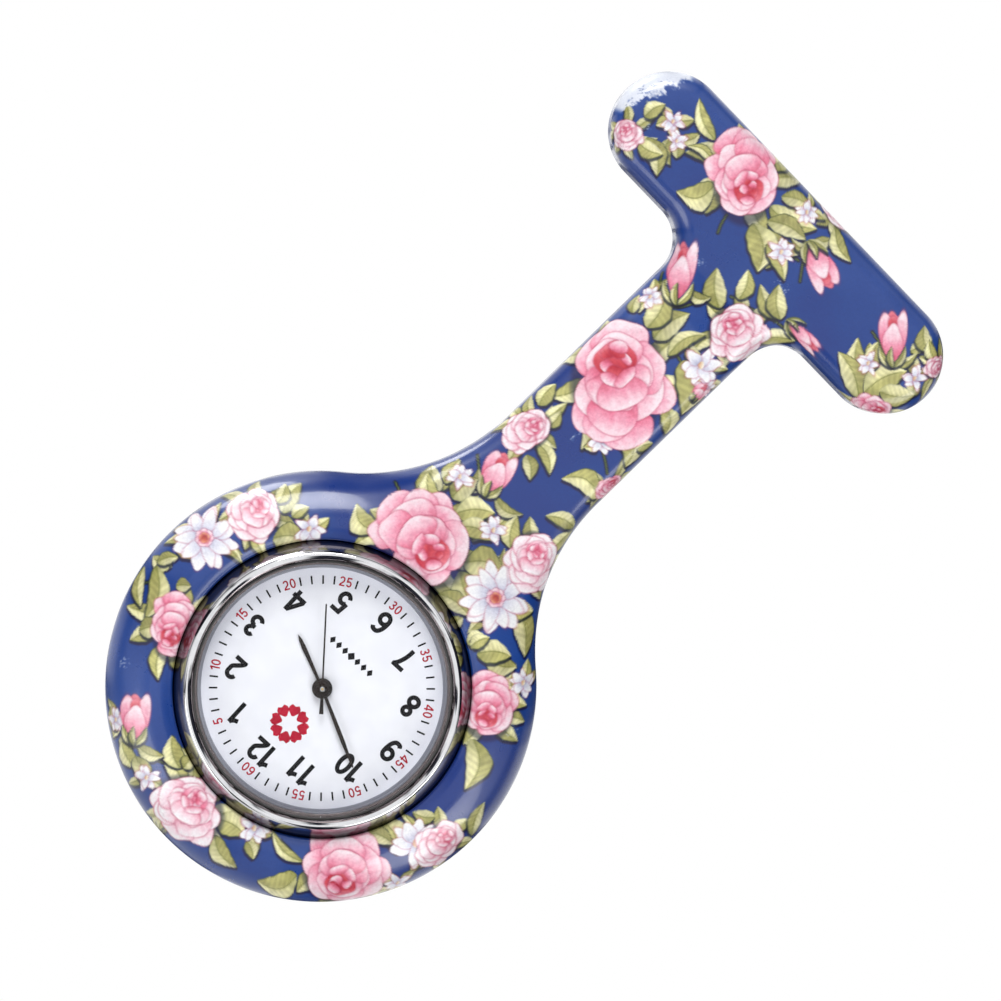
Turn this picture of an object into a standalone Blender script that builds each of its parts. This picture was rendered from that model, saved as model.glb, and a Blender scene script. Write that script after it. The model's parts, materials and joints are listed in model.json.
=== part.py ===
"""Nurse's fob watch: a quartz watch head in a moulded silicone sleeve, hung from a brooch pin.

Frame: origin at the middle of the brooch pin, +Z up along the fob as worn, the dial faces -Y,
+X to the right seen from the front. Depths are given as f, millimetres forward of the pin
(f = -y). The watch head hangs upside down: its 12 o'clock points down the fob.
"""
import math
from math import sin, cos, pi, radians, sqrt, hypot, atan2

import bpy
import bmesh
import numpy as np
from mathutils import Matrix, Vector
from mathutils.geometry import delaunay_2d_cdt

MM = 0.001

# ---- driving dimensions, millimetres ---------------------------------------------------------
HEAD_Z = -61.2          # watch head centre below the pin
HEAD_R = 20.8           # outer radius of the sleeve's head ring
HEAD_FILLET = 20.0      # fillet between head ring and neck
NECK_W = 6.05           # half width of the neck
BAR_H = 5.65            # half height of the T-bar, also its end radius
BAR_Z = 0.30            # T-bar's centre line above the pin
BAR_L = 20.4            # half length of the T-bar
BAR_FILLET = 3.9        # fillet between neck and T-bar
BACK_F = 0.9            # sleeve's flat back plane
NECK_F = 5.4            # neck's front face
HEAD_F = 8.5            # crest of the head ring
BAR_RISE = 1.3          # T-bar stands this much proud of the neck
EDGE_F = 2.0            # front edge rounding
EDGE_B = 1.0            # back edge rounding
LIP_R = 14.33           # front opening, hugging the bezel's flank
LIP_ROUND = 0.35
REAR_R = 11.0           # rear opening, showing the case back
REAR_ROUND = 0.3
HEAD_TWIST = -3.25      # degrees, how the watch head sits turned in its sleeve
SEG = 48                # segments of every round piece of the watch head

STEM_F = 4.3            # winding stem's depth
CROWN_R = 1.45
CROWN_U0, CROWN_U1 = 15.05, 16.65
CROWN_TRAVEL = 0.7

HOUR_DEG, MINUTE_DEG, SECOND_DEG = 113.6, 296.3, 140.1   # clockwise from 12: about 3:49:23

# ---- gear train: teeth, modules, axes in the dial's own frame (u right, v up) ----------------
BATTERY_UV, BATTERY_R = (-3.85, 3.8), 3.4
M_SECONDS = 0.088       # intermediate pinion 8 : seconds wheel 40
M_ROTOR = 0.070         # rotor pinion 8 : intermediate wheel 48
M_THIRD = 0.0609        # seconds pinion 8 : third wheel 60
M_CENTRE = 0.0575       # third pinion 8 : centre wheel 64
M_MOTION = 0.10         # cannon 10 : minute wheel 30, minute pinion 8 : hour wheel 32
A_THIRD, D_THIRD = 45.0, 34 * M_THIRD
A_INTER, D_INTER = -50.0, 24 * M_SECONDS
A_ROTOR, D_ROTOR = -60.0, 28 * M_ROTOR
MINUTE_U = 20 * M_MOTION
SETTING_U = MINUTE_U + 23 * M_MOTION


def polar(r, deg):
    return (r * cos(radians(deg)), r * sin(radians(deg)))


THIRD_UV = polar(D_THIRD, A_THIRD)
INTER_UV = polar(D_INTER, A_INTER)
_r = polar(D_ROTOR, A_ROTOR)
ROTOR_UV = (INTER_UV[0] + _r[0], INTER_UV[1] + _r[1])

for ob in list(bpy.data.objects):
    bpy.data.objects.remove(ob, do_unlink=True)


# ---- materials -------------------------------------------------------------------------------
def material(name, colour, rough, metal, alpha=1.0):
    m = bpy.data.materials.new(name)
    m.use_nodes = True
    b = m.node_tree.nodes["Principled BSDF"]
    b.inputs["Base Color"].default_value = (*colour, 1.0)
    b.inputs["Roughness"].default_value = rough
    b.inputs["Metallic"].default_value = metal
    b.inputs["Alpha"].default_value = alpha
    m.diffuse_color = (*colour, 1.0)
    return m


# ---- 2D outlines -----------------------------------------------------------------------------
def circle(r, n=SEG, c=(0.0, 0.0), start=0.0):
    return [(c[0] + r * cos(2 * pi * k / n + start), c[1] + r * sin(2 * pi * k / n + start)) for k in range(n)]


def arc(c, r, a0, a1, n):
    return [(c[0] + r * cos(radians(a0 + (a1 - a0) * k / n)), c[1] + r * sin(radians(a0 + (a1 - a0) * k / n)))
            for k in range(n + 1)]


def rounded_rect(hx, hz, r, n=4, c=(0.0, 0.0)):
    pts = []
    for (sx, sz, a) in ((1, 1, 0), (-1, 1, 90), (-1, -1, 180), (1, -1, 270)):
        pts += arc((c[0] + sx * (hx - r), c[1] + sz * (hz - r)), r, a, a + 90, n)
    return pts


def gear(teeth, module, phase_deg=0.0):
    """Tooth outline; a tooth stands at phase_deg. Fine wheels have plain vee teeth."""
    rp, tip, root = module * teeth / 2, module * teeth / 2 + 0.85 * module, module * teeth / 2 - 1.15 * module
    p = 2 * pi / teeth
    pts = []
    for k in range(teeth):
        a = radians(phase_deg) + k * p
        if teeth >= 40:
            shape = ((-0.5, root), (0.0, tip))
        else:
            shape = ((-0.29, root), (-0.07, tip), (0.07, tip), (0.29, root))
        pts += [(r * cos(a + s * p), r * sin(a + s * p)) for s, r in shape]
    return pts


def hull(pts):
    pts = sorted(set((round(x, 9), round(z, 9)) for x, z in pts))

    def half(seq):
        out = []
        for p in seq:
            while len(out) > 1 and ((out[-1][0] - out[-2][0]) * (p[1] - out[-2][1])
                                    - (out[-1][1] - out[-2][1]) * (p[0] - out[-2][0])) <= 0:
                out.pop()
            out.append(p)
        return out[:-1]
    return half(pts) + half(pts[::-1])


# ---- solids ----------------------------------------------------------------------------------
def inside(loops, pts):
    """Even-odd test of points against closed loops."""
    odd = np.zeros(len(pts), bool)
    x, z = pts[:, 0], pts[:, 1]
    for lp in loops:
        a = np.asarray(lp, float)
        b = np.roll(a, -1, axis=0)
        for (x0, z0), (x1, z1) in zip(a, b):
            hit = (z0 > z) != (z1 > z)
            if not hit.any():
                continue
            xs = x0 + (z - z0) * (x1 - x0) / (z1 - z0 if z1 != z0 else 1e-30)
            odd ^= hit & (x < xs)
    return odd


def triangulate(loops, extra=()):
    """Constrained Delaunay over loops and loose points; returns points, triangles and for each
    output point the index of the input it came from."""
    pts, edges = [], []
    for lp in loops:
        s = len(pts)
        pts += [Vector(p) for p in lp]
        edges += [(s + k, s + (k + 1) % len(lp)) for k in range(len(lp))]
    pts += [Vector(p) for p in extra]
    v, e, f, ov, oe, of = delaunay_2d_cdt(pts, edges, [], 0, 1e-6)
    return [tuple(p) for p in v], f, [o[0] if o else -1 for o in ov]


def new_bm():
    return bmesh.new()


def finish_bm(bm, merge=2e-7):
    bmesh.ops.remove_doubles(bm, verts=bm.verts, dist=merge)
    bmesh.ops.recalc_face_normals(bm, faces=bm.faces)
    return bm


def layered(layers, place):
    """A solid made of flat layers. layers is a list of (a0, a1, [loops]) in rising order, each
    region being the even-odd inside of its loops, which never cross one another. place(p, a)
    turns a 2D point and a level into a 3D point in millimetres."""
    bm = new_bm()

    def face(vs):
        if len(set(vs)) > 2:
            try:
                bm.faces.new(vs)
            except ValueError:
                pass

    levels = [layers[0][0]] + [ly[1] for ly in layers]
    rings = []
    for i, lev in enumerate(levels):
        below = layers[i - 1][2] if i > 0 else []
        above = layers[i][2] if i < len(layers) else []
        loops = list(below) + [lp for lp in above if not any(lp is q for q in below)]
        ring = {id(lp): [bm.verts.new(Vector(place(p, lev)) * MM) for p in lp] for lp in loops}
        rings.append(ring)
        flat = [v for lp in loops for v in ring[id(lp)]]
        pts, tris, src = triangulate(loops)
        if not tris:
            continue
        P = np.array(pts)
        C = np.array([P[list(t)].mean(axis=0) for t in tris])
        keep = inside(below, C) ^ inside(above, C)
        for t, k in zip(tris, keep):
            if k:
                face([flat[src[j]] for j in t])
    for i, (a0, a1, loops) in enumerate(layers):
        for lp in loops:
            lo, hi = rings[i][id(lp)], rings[i + 1][id(lp)]
            n = len(lp)
            for k in range(n):
                face([lo[k], lo[(k + 1) % n], hi[(k + 1) % n], hi[k]])
    return finish_bm(bm)


def revolve(profile, place, n=SEG):
    """Turn a closed profile of (radius, level) about an axis. place(x, z, level) -> 3D point."""
    bm = new_bm()
    rows = []
    for r, a in profile:
        if r < 1e-9:
            v = bm.verts.new(Vector(place(0.0, 0.0, a)) * MM)
            rows.append([v] * n)
        else:
            rows.append([bm.verts.new(Vector(place(r * cos(2 * pi * k / n), r * sin(2 * pi * k / n), a)) * MM)
                         for k in range(n)])
    m = len(rows)
    for i in range(m):
        a, b = rows[i], rows[(i + 1) % m]
        if a[0] is a[1] and b[0] is b[1]:
            continue
        for k in range(n):
            q = (k + 1) % n
            vs = []
            for v in (a[k], a[q], b[q], b[k]):
                if v not in vs:
                    vs.append(v)
            if len(vs) > 2:
                bm.faces.new(vs)
    return finish_bm(bm)


def face_on(p, f):          # a layer that faces the front: (x, z) at depth f
    return (p[0], -f, p[1])


def turn_on(x, z, f):
    return (x, -f, z)


def place_object(name, bm, mat, parent=None, loc=(0, 0, 0), angle=35.0):
    me = bpy.data.meshes.new(name)
    bm.to_mesh(me)
    bm.free()
    me.materials.append(mat)
    me.shade_smooth()
    me.set_sharp_from_angle(angle=radians(angle))
    ob = bpy.data.objects.new(name, me)
    bpy.context.scene.collection.objects.link(ob)
    ob.location = Vector(loc) * MM
    if parent:
        ob.parent = parent
    return ob


def cylinder_bm(a, b, r, n=16):
    """Cylinder from a to b, millimetres."""
    a, b = Vector(a), Vector(b)
    d = (b - a).normalized()
    u = d.orthogonal().normalized()
    w = d.cross(u)
    return revolve([(0, 0), (r, 0), (r, (b - a).length), (0, (b - a).length)],
                   lambda x, z, t: a + u * x + w * z + d * t, n)


def boolean(ob, tool_bm, op="DIFFERENCE", parent=None):
    """Apply a boolean with a throw-away tool, exact solver."""
    me = bpy.data.meshes.new("tool")
    tool_bm.to_mesh(me)
    tool_bm.free()
    tool = bpy.data.objects.new("tool", me)
    tool.hide_render = True
    tool.display_type = "WIRE"
    bpy.context.scene.collection.objects.link(tool)
    tool.parent = parent
    mod = ob.modifiers.new("cut", "BOOLEAN")
    mod.operation, mod.solver, mod.object = op, "EXACT", tool
    bpy.context.view_layer.update()
    dg = bpy.context.evaluated_depsgraph_get()
    done = bpy.data.meshes.new_from_object(ob.evaluated_get(dg))
    ob.modifiers.remove(mod)
    bpy.data.objects.remove(tool, do_unlink=True)
    old, ob.data = ob.data, done
    bpy.data.meshes.remove(old)
    done.name = ob.name
    done.shade_smooth()
    done.set_sharp_from_angle(angle=radians(35))
    return ob


# ---- sleeve outline --------------------------------------------------------------------------
def sleeve_outline(step):
    """Closed outline with inward normals, anticlockwise from the bottom of the head ring."""
    R, F, w = HEAD_R, HEAD_FILLET, NECK_W
    dz = sqrt((R + F) ** 2 - (w + F) ** 2)
    a_head = math.degrees(atan2(dz, w + F))            # where ring and fillet meet
    half = []                                          # right half, bottom to top: (x, z, nx, nz)

    def add_arc(c, r, a0, a1, inward):
        n = max(2, int(math.ceil(abs(radians(a1 - a0)) * r / step)))
        for k in range(n + 1):
            a = radians(a0 + (a1 - a0) * k / n)
            half.append((c[0] + r * cos(a), c[1] + r * sin(a), inward * cos(a), inward * sin(a)))

    def add_line(p, q, nrm):
        n = max(1, int(math.ceil(hypot(q[0] - p[0], q[1] - p[1]) / step)))
        for k in range(n + 1):
            t = k / n
            half.append((p[0] + (q[0] - p[0]) * t, p[1] + (q[1] - p[1]) * t, nrm[0], nrm[1]))

    add_arc((0, HEAD_Z), R, -90, 0, -1)
    add_arc((0, HEAD_Z), R, 0, a_head, -1)
    add_arc((w + F, HEAD_Z + dz), F, 180 + a_head, 180, 1)
    low = BAR_Z - BAR_H
    add_line((w, HEAD_Z + dz), (w, low - BAR_FILLET), (-1, 0))
    add_arc((w + BAR_FILLET, low - BAR_FILLET), BAR_FILLET, 180, 90, 1)
    add_line((w + BAR_FILLET, low), (BAR_L - BAR_H, low), (0, 1))
    add_arc((BAR_L - BAR_H, BAR_Z), BAR_H, -90, 0, -1)
    add_arc((BAR_L - BAR_H, BAR_Z), BAR_H, 0, 90, -1)
    add_line((BAR_L - BAR_H, BAR_Z + BAR_H), (0, BAR_Z + BAR_H), (0, -1))
    pts = []
    for p in half:
        if not pts or hypot(p[0] - pts[-1][0], p[1] - pts[-1][1]) > 1e-6:
            pts.append(p)
    left = [(-x, z, -nx, nz) for x, z, nx, nz in reversed(pts)]
    return pts + left[1:-1]


def smooth(t):
    t = min(1.0, max(0.0, t))
    return t * t * (3 - 2 * t)


def crest(x, z):
    """Depth of the sleeve's front surface away from its edges."""
    rho = hypot(x, z - HEAD_Z)
    f = NECK_F + (HEAD_F - NECK_F) * smooth((24.0 - rho) / 8.0)
    if rho < 16.0:
        f -= 0.35 * ((16.0 - rho) / 1.6) ** 2
    return f + BAR_RISE * smooth((z + 12.5) / 6.5)


def sleeve_bm(step, grid, n_edge, n_side, n_back, seg):
    bm = new_bm()
    out = sleeve_outline(step)

    def vert(x, z, f):
        return bm.verts.new(Vector((x, -f, z)) * MM)

    def bridge(a, b):
        n = len(a)
        for k in range(n):
            q = (k + 1) % n
            bm.faces.new([a[k], a[q], b[q], b[k]])

    # edge chain: front rounding, side wall, back rounding
    chain = []
    for k in range(n_edge + 1):
        ph = (pi / 2) * (1 - k / n_edge)
        d, drop = EDGE_F * (1 - cos(ph)), EDGE_F * (1 - sin(ph))
        chain.append([vert(x + nx * d, z + nz * d, crest(x + nx * d, z + nz * d) - drop) for x, z, nx, nz in out])
    for k in range(1, n_side):
        t = k / n_side
        chain.append([vert(x, z, (crest(x, z) - EDGE_F) * (1 - t) + (BACK_F + EDGE_B) * t) for x, z, nx, nz in out])
    for k in range(n_back + 1):
        ph = (pi / 2) * k / n_back
        d, f = EDGE_B * (1 - cos(ph)), BACK_F + EDGE_B * (1 - sin(ph))
        chain.append([vert(x + nx * d, z + nz * d, f) for x, z, nx, nz in out])
    for a, b in zip(chain, chain[1:]):
        bridge(a, b)
    front_loop = [(x + nx * EDGE_F, z + nz * EDGE_F) for x, z, nx, nz in out]
    back_loop = [(x + nx * EDGE_B, z + nz * EDGE_B) for x, z, nx, nz in out]

    # opening chain: front lip, pocket around the case, rear lip
    ring = lambda r: circle(r, seg, (0.0, HEAD_Z))
    lip_f = crest(0, HEAD_Z + LIP_R + LIP_ROUND)
    prof = []
    for k in range(4):
        ph = (pi / 2) * (1 - k / 3)
        prof.append((LIP_R + LIP_ROUND * (1 - cos(ph)), lip_f - LIP_ROUND * (1 - sin(ph))))
    prof += [(LIP_R, 7.18), (14.96, 6.70)]
    back_prof = [(14.96, 2.61), (14.50, 2.05), (12.96, 2.0), (REAR_R, 2.0)]
    for k in range(4):
        ph = (pi / 2) * k / 3
        back_prof.append((REAR_R + REAR_ROUND * (1 - cos(ph)), BACK_F + REAR_ROUND * (1 - sin(ph))))
    rings_f = [[vert(x, z, f) for x, z in ring(r)] for r, f in prof]
    rings_b = [[vert(x, z, f) for x, z in ring(r)] for r, f in back_prof]
    for rs in (rings_f, rings_b):
        for a, b in zip(rs, rs[1:]):
            bridge(a, b)

    # pocket wall with the crown's recess, laid out flat over (angle, depth)
    tw = radians(180.0 - HEAD_TWIST)                   # direction of the stem, seen from the front
    rw = 14.96
    mouth = [(STEM_R_POCKET * cos(2 * pi * k / 20), STEM_F + STEM_R_POCKET * sin(2 * pi * k / 20)) for k in range(20)]
    ax = (cos(tw), sin(tw))

    def wall_point(s, f):                              # s is sideways distance from the stem's line
        c = sqrt(rw * rw - s * s)
        return (ax[0] * c - ax[1] * s, HEAD_Z + ax[1] * c + ax[0] * s, f)

    hi, lo = rings_f[-1], rings_b[0]
    rect = []
    angs = [(2 * pi * k / seg - tw + pi) % (2 * pi) - pi for k in range(seg)]
    order = sorted(range(seg), key=lambda k: angs[k])
    top = [(angs[k] * rw, 6.70) for k in order] + [(angs[order[0]] * rw + 2 * pi * rw, 6.70)]
    bot = [(p[0], 2.61) for p in top]
    border = top + bot[::-1]
    bverts = [hi[k] for k in order] + [hi[order[0]]] + [lo[order[0]]] + [lo[k] for k in reversed(order)]
    flat_mouth = [(math.asin(m[0] / rw) * rw, m[1]) for m in mouth]
    mverts = [vert(*wall_point(m[0], m[1])) for m in mouth]
    P, T, src = triangulate([border, flat_mouth])
    allv = bverts + mverts
    C = np.array([np.array([P[j] for j in t]).mean(axis=0) for t in T])
    keep = inside([border], C) & ~inside([flat_mouth], C)
    for t, k in zip(T, keep):
        if k:
            vs = [allv[src[j]] for j in t]
            if len(set(vs)) == 3:
                bm.faces.new(vs)
    endv = [vert(ax[0] * POCKET_U - ax[1] * m[0], HEAD_Z + ax[1] * POCKET_U + ax[0] * m[0], m[1]) for m in mouth]
    bridge(mverts, endv)
    bm.faces.new(endv)

    # front face
    gx = np.arange(-21, 21.01, grid)
    gz = np.arange(-83, 7.01, grid)
    loose = [(float(x), float(z)) for z in gz for x in gx if hypot(x, z - HEAD_Z) > 20.5]
    loose += circle(16.5, seg, (0.0, HEAD_Z), pi / seg)
    L = np.array(loose)

    def far(loop_pts, P, d):
        ok = np.ones(len(P), bool)
        A = np.asarray(loop_pts, float)
        B = np.roll(A, -1, axis=0)
        for a, b in zip(A, B):
            ab = b - a
            t = np.clip(((P - a) @ ab) / max(ab @ ab, 1e-12), 0, 1)
            ok &= np.hypot(*(P - a - t[:, None] * ab).T) > d
        return ok

    def skin(boundaries, bverts, depth):
        keepers = inside(boundaries, L)
        for lp in boundaries:
            keepers &= far(lp, L, grid * 0.45)
        extra = [tuple(p) for p in L[keepers]]
        P, T, src = triangulate(boundaries, extra)
        ev = [vert(x, z, depth(x, z)) for x, z in extra]
        allv = [v for vs in bverts for v in vs] + ev
        C = np.array([np.array([P[j] for j in t]).mean(axis=0) for t in T])
        for t, k in zip(T, inside(boundaries, C)):
            if k:
                vs = [allv[src[j]] for j in t]
                if len(set(vs)) == 3:
                    bm.faces.new(vs)

    skin([front_loop, ring(LIP_R + LIP_ROUND)], [chain[0], rings_f[0]], crest)

    # rear window and the brooch plate's pocket
    win = rounded_rect(WIN_X, WIN_Z, 1.0)
    pock = rounded_rect(POCK_X, POCK_Z, 1.0)
    w0 = [vert(x, z, BACK_F) for x, z in win]
    w1 = [vert(x, z, POCK_F0) for x, z in win]
    p1 = [vert(x, z, POCK_F0) for x, z in pock]
    p2 = [vert(x, z, POCK_F1) for x, z in pock]
    bridge(w0, w1)
    bridge(w1, p1)
    bridge(p1, p2)
    bm.faces.new(p2)
    P, T, src = triangulate([back_loop, ring(REAR_R + REAR_ROUND), win])
    allv = chain[-1] + rings_b[-1] + w0
    C = np.array([np.array([P[j] for j in t]).mean(axis=0) for t in T])
    for t, k in zip(T, inside([back_loop, ring(REAR_R + REAR_ROUND), win], C)):
        if k:
            bm.faces.new([allv[src[j]] for j in t])
    return finish_bm(bm)


STEM_R_POCKET = 1.58                 # crown recess, radius
POCKET_U = 17.7                      # how far the recess reaches from the head's centre
WIN_X, WIN_Z = 15.6, 2.35            # window behind the T-bar
POCK_X, POCK_Z = 16.9, 3.15          # pocket holding the brooch plate
POCK_F0, POCK_F1 = 1.65, 2.25
PLATE_F0, PLATE_F1 = 1.70, 2.20

# ---- materials of the parts ------------------------------------------------------------------
silicone = material("silicone_print", (0.10, 0.16, 0.42), 0.28, 0.0)
chrome = material("chrome", (0.80, 0.80, 0.82), 0.08, 1.0)
steel = material("steel", (0.62, 0.62, 0.63), 0.30, 1.0)
glass = material("glass", (0.92, 0.94, 0.95), 0.02, 0.0, 0.25)
rubber = material("gasket_rubber", (0.03, 0.03, 0.03), 0.7, 0.0)
dial_white = material("dial_white", (0.88, 0.88, 0.91), 0.35, 0.0)
hand_black = material("hand_black", (0.012, 0.011, 0.012), 0.25, 0.0)
plastic_white = material("holder_plastic", (0.78, 0.77, 0.72), 0.5, 0.0)
plastic_black = material("movement_plastic", (0.03, 0.03, 0.035), 0.45, 0.0)
brass = material("brass", (0.78, 0.60, 0.28), 0.25, 1.0)
copper = material("copper_wire", (0.72, 0.34, 0.16), 0.35, 1.0)
board_green = material("board_green", (0.05, 0.22, 0.12), 0.4, 0.0)
nickel = material("nickel", (0.70, 0.69, 0.66), 0.22, 1.0)

# ---- the sleeve ------------------------------------------------------------------------------
place_object("silicone_sleeve", sleeve_bm(2.6, 3.4, 3, 1, 2, SEG), silicone, angle=50)

# ---- watch head: everything here is modelled in the dial's own frame ---------------------------
head = bpy.data.objects.new("watch_head", None)
bpy.context.scene.collection.objects.link(head)
head.location = (0, 0, HEAD_Z * MM)
head.rotation_euler = (0, pi + radians(HEAD_TWIST), 0)
bpy.context.view_layer.update()


def head_part(name, bm, mat, loc=(0, 0), f=0.0, angle=35.0):
    return place_object(name, bm, mat, head, (loc[0], -f, loc[1]), angle)


case_profile = [(12.58, 9.74), (12.95, 9.82), (13.16, 9.79), (13.29, 9.66), (13.84, 8.86), (14.24, 8.05),
                (14.27, 7.15), (14.90, 6.66), (14.90, 2.67), (14.44, 2.12), (12.90, 2.08), (12.55, 2.08),
                (12.55, 2.95), (12.25, 2.95), (12.25, 7.82), (11.98, 7.82), (11.98, 8.05), (12.44, 8.05),
                (12.44, 9.40)]
case = head_part("watch_case", revolve(case_profile, turn_on), chrome)
boolean(case, cylinder_bm((11.5, -STEM_F, 0), (15.6, -STEM_F, 0), 0.76, 20), parent=head)

head_part("crystal", revolve([(0, 9.30), (12.06, 9.30), (12.20, 9.18), (12.20, 8.08), (0, 8.08)], turn_on), glass)
head_part("crystal_gasket", revolve([(12.24, 9.26), (12.41, 9.26), (12.41, 8.08), (12.24, 8.08)], turn_on), rubber)
head_part("rehaut_ring", revolve([(11.95, 7.79), (12.20, 7.79), (12.20, 6.50), (11.62, 6.50)], turn_on), steel)

dial_hole = circle(0.95, 24)
feet = [circle(0.35, 10, p) for p in ((5.9, 5.2), (-6.0, -5.0))]
dial_disc = circle(12.15)
head_part("dial", layered([(5.40, 6.05, feet), (6.05, 6.45, [dial_disc, dial_hole])], face_on), dial_white)
head_part("dial_washer", layered([(5.955, 6.02, [circle(1.5, 24), circle(0.8, 24)])], face_on), brass)

hold_out, hold_in = circle(12.15), circle(9.42)
slot = 1.25
outer_part = [p for p in hold_out if not (p[0] > 0 and abs(p[1]) < 1.7)]
inner_part = [p for p in hold_in if not (p[0] > 0 and abs(p[1]) < 1.7)]
open_ring = outer_part + [(sqrt(12.15 ** 2 - slot ** 2) * 0.995, -slot), (9.42, -slot)] + inner_part[::-1] \
    + [(9.42, slot), (sqrt(12.15 ** 2 - slot ** 2) * 0.995, slot)]
head_part("movement_holder", layered([(3.36, 5.15, [open_ring]), (5.15, 6.02, [hold_out, hold_in])], face_on),
          plastic_white)

head_part("case_back", revolve([(0, 2.05), (12.2, 2.05), (12.5, 2.25), (12.5, 2.72), (12.2, 2.72), (12.2, 3.3),
                                (11.7, 3.3), (11.7, 2.55), (0, 2.55)], turn_on), steel)
head_part("case_back_gasket", revolve([(12.24, 2.92), (12.51, 2.92), (12.51, 2.76), (12.24, 2.76)], turn_on), rubber)

# ---- movement: plates ------------------------------------------------------------------------
R_MOV, FLAT = 9.3, 7.9
plate_out = [(x, max(-FLAT, min(FLAT, z))) for x, z in circle(R_MOV, 40)]
plate_out = [p for k, p in enumerate(plate_out) if p != plate_out[k - 1]]
centre_hole = circle(0.45, 12)
recess = hull(circle(1.86, 20) + circle(1.76, 20, (MINUTE_U, 0)) + circle(1.06, 12, (SETTING_U, 0)))
battery_hole = circle(BATTERY_R + 0.08, 24, BATTERY_UV)
pivots = [circle(0.17, 8, p) for p in (THIRD_UV, INTER_UV, ROTOR_UV)]
feet_holes = [circle(0.41, 10, p) for p in ((5.9, 5.2), (-6.0, -5.0))]
LEVER_UV = (7.1, 1.7)
lever_hole = circle(0.31, 10, LEVER_UV)
post_a, post_b, post_c, post_d = (3.4, 3.9), (-2.3, -2.3), (-4.3, -3.6), (1.1, 6.7)
posts = {k: circle(0.72, 10, p) for k, p in zip("abcd", (post_a, post_b, post_c, post_d))}
bores = {k: circle(0.31, 8, p) for k, p in zip("abcd", (post_a, post_b, post_c, post_d))}
block_u0, block_u1 = 8.0, 9.0
cheek = [[(block_u0, s * 0.5), (block_u1, s * 0.5), (block_u1, s * 1.0), (block_u0, s * 1.0)][::s] for s in (1, -1)]
pin_m, pin_s = circle(0.15, 8, (MINUTE_U, 0)), circle(0.15, 8, (SETTING_U, 0))
base = [plate_out, centre_hole, battery_hole] + feet_holes
main_plate = layered([
    (3.05, 3.46, [posts["d"], bores["d"]]),
    (3.46, 3.54, [posts["d"], bores["d"], posts["c"], bores["c"]]),
    (3.54, 4.30, [lp for k in "abcd" for lp in (posts[k], bores[k])]),
    (4.30, 5.30, list(posts.values()) + cheek),
    (5.30, 5.50, base + pivots + [lever_hole]),
    (5.50, 5.62, base),
    (5.62, 5.68, [plate_out, recess, battery_hole, pin_m, pin_s] + feet_holes),
    (5.68, 5.93, [plate_out, recess, pin_m, pin_s] + feet_holes),
    (5.93, 6.00, [plate_out, recess] + feet_holes)], face_on)
head_part("main_plate", main_plate, plastic_black)

bridge_out = hull(circle(1.0, 12, post_a) + circle(1.0, 12, post_b) + circle(1.0, 12, ROTOR_UV) + circle(0.9, 12))
bridge_holes = [circle(0.17, 8, p) for p in ((0, 0), THIRD_UV, INTER_UV, ROTOR_UV)]
bridge_screws = [circle(0.30, 8, p) for p in (post_a, post_b)]
head_part("train_bridge", layered([(3.24, 3.50, [bridge_out] + bridge_holes + bridge_screws)], face_on), steel)


def screw(name, uv, f_seat, length=0.95, head_r=0.58, head_h=0.25):
    r = 0.26
    slot_w, slot_d = 0.07, 0.1
    hd = circle(head_r, 12)
    # slotted head: two segments outside the slot
    upper = [p for p in hd if p[1] > slot_w] + [(-sqrt(head_r ** 2 - slot_w ** 2) * 0.97, slot_w),
                                                (sqrt(head_r ** 2 - slot_w ** 2) * 0.97, slot_w)]
    lower = [(x, -z) for x, z in upper][::-1]
    f0 = f_seat - head_h
    bm = layered([(f0, f0 + slot_d, [upper, lower]), (f0 + slot_d, f_seat, [hd]), (f_seat, f_seat + length, [circle(r, 8)])],
                 face_on)
    head_part(name, bm, steel, uv)


screw("bridge_screw_1", post_a, 3.22)
screw("bridge_screw_2", post_b, 3.22)

# ---- movement: electronics -------------------------------------------------------------------
board = [(-6.9, -5.4), (-5.6, -2.7), (-4.4, -2.7), (-3.2, -3.4), (-2.6, -4.9), (5.2, -4.9), (5.6, -5.6),
         (4.4, -7.6), (-4.4, -7.6)]
head_part("circuit_board", layered([(3.22, 3.42, [board, circle(0.30, 8, post_c)])], face_on), board_green)
screw("board_screw", post_c, 3.19, 0.9)
head_part("circuit_chip", layered([(2.86, 3.19, [rounded_rect(0.95, 0.7, 0.12, 2, (0.6, -6.2))])], face_on), plastic_black)
head_part("quartz_can", cylinder_bm((-6.3, -4.3, -4.1), (-6.3, -4.3, -0.3), 0.72, 14), nickel)
core = [(-5.3, -6.6), (4.5, -6.6), (4.5, -5.8), (-5.3, -5.8)]
head_part("coil_core", layered([(4.06, 4.40, [core])], face_on), nickel)
coil_out, coil_in = rounded_rect(0.72, 0.66, 0.3, 2), rounded_rect(0.45, 0.22, 0.05, 1)
head_part("coil_winding", layered([(-4.0, 2.6, [coil_out, coil_in])], lambda p, a: (a, -4.23 + p[1], -6.2 + p[0])), copper)
st_hole = circle(0.80, 20, ROTOR_UV)
rx, rz = ROTOR_UV
stator = [(-5.3, -5.25), (-2.6, -4.2), (0.6, -4.2)] + [(rx + 1.45 * cos(a), rz + 1.45 * sin(a)) for a in
                                                       [radians(200 - 20 * k) for k in range(10)]] \
    + [(4.5, -4.2), (4.5, -6.6), (3.4, -6.6), (3.4, -5.0), (-1.0, -5.0), (-2.9, -5.1), (-4.2, -5.45), (-4.2, -6.6), (-5.3, -6.6)]
head_part("stator", layered([(4.43, 4.73, [stator, st_hole])], face_on), nickel)

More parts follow.
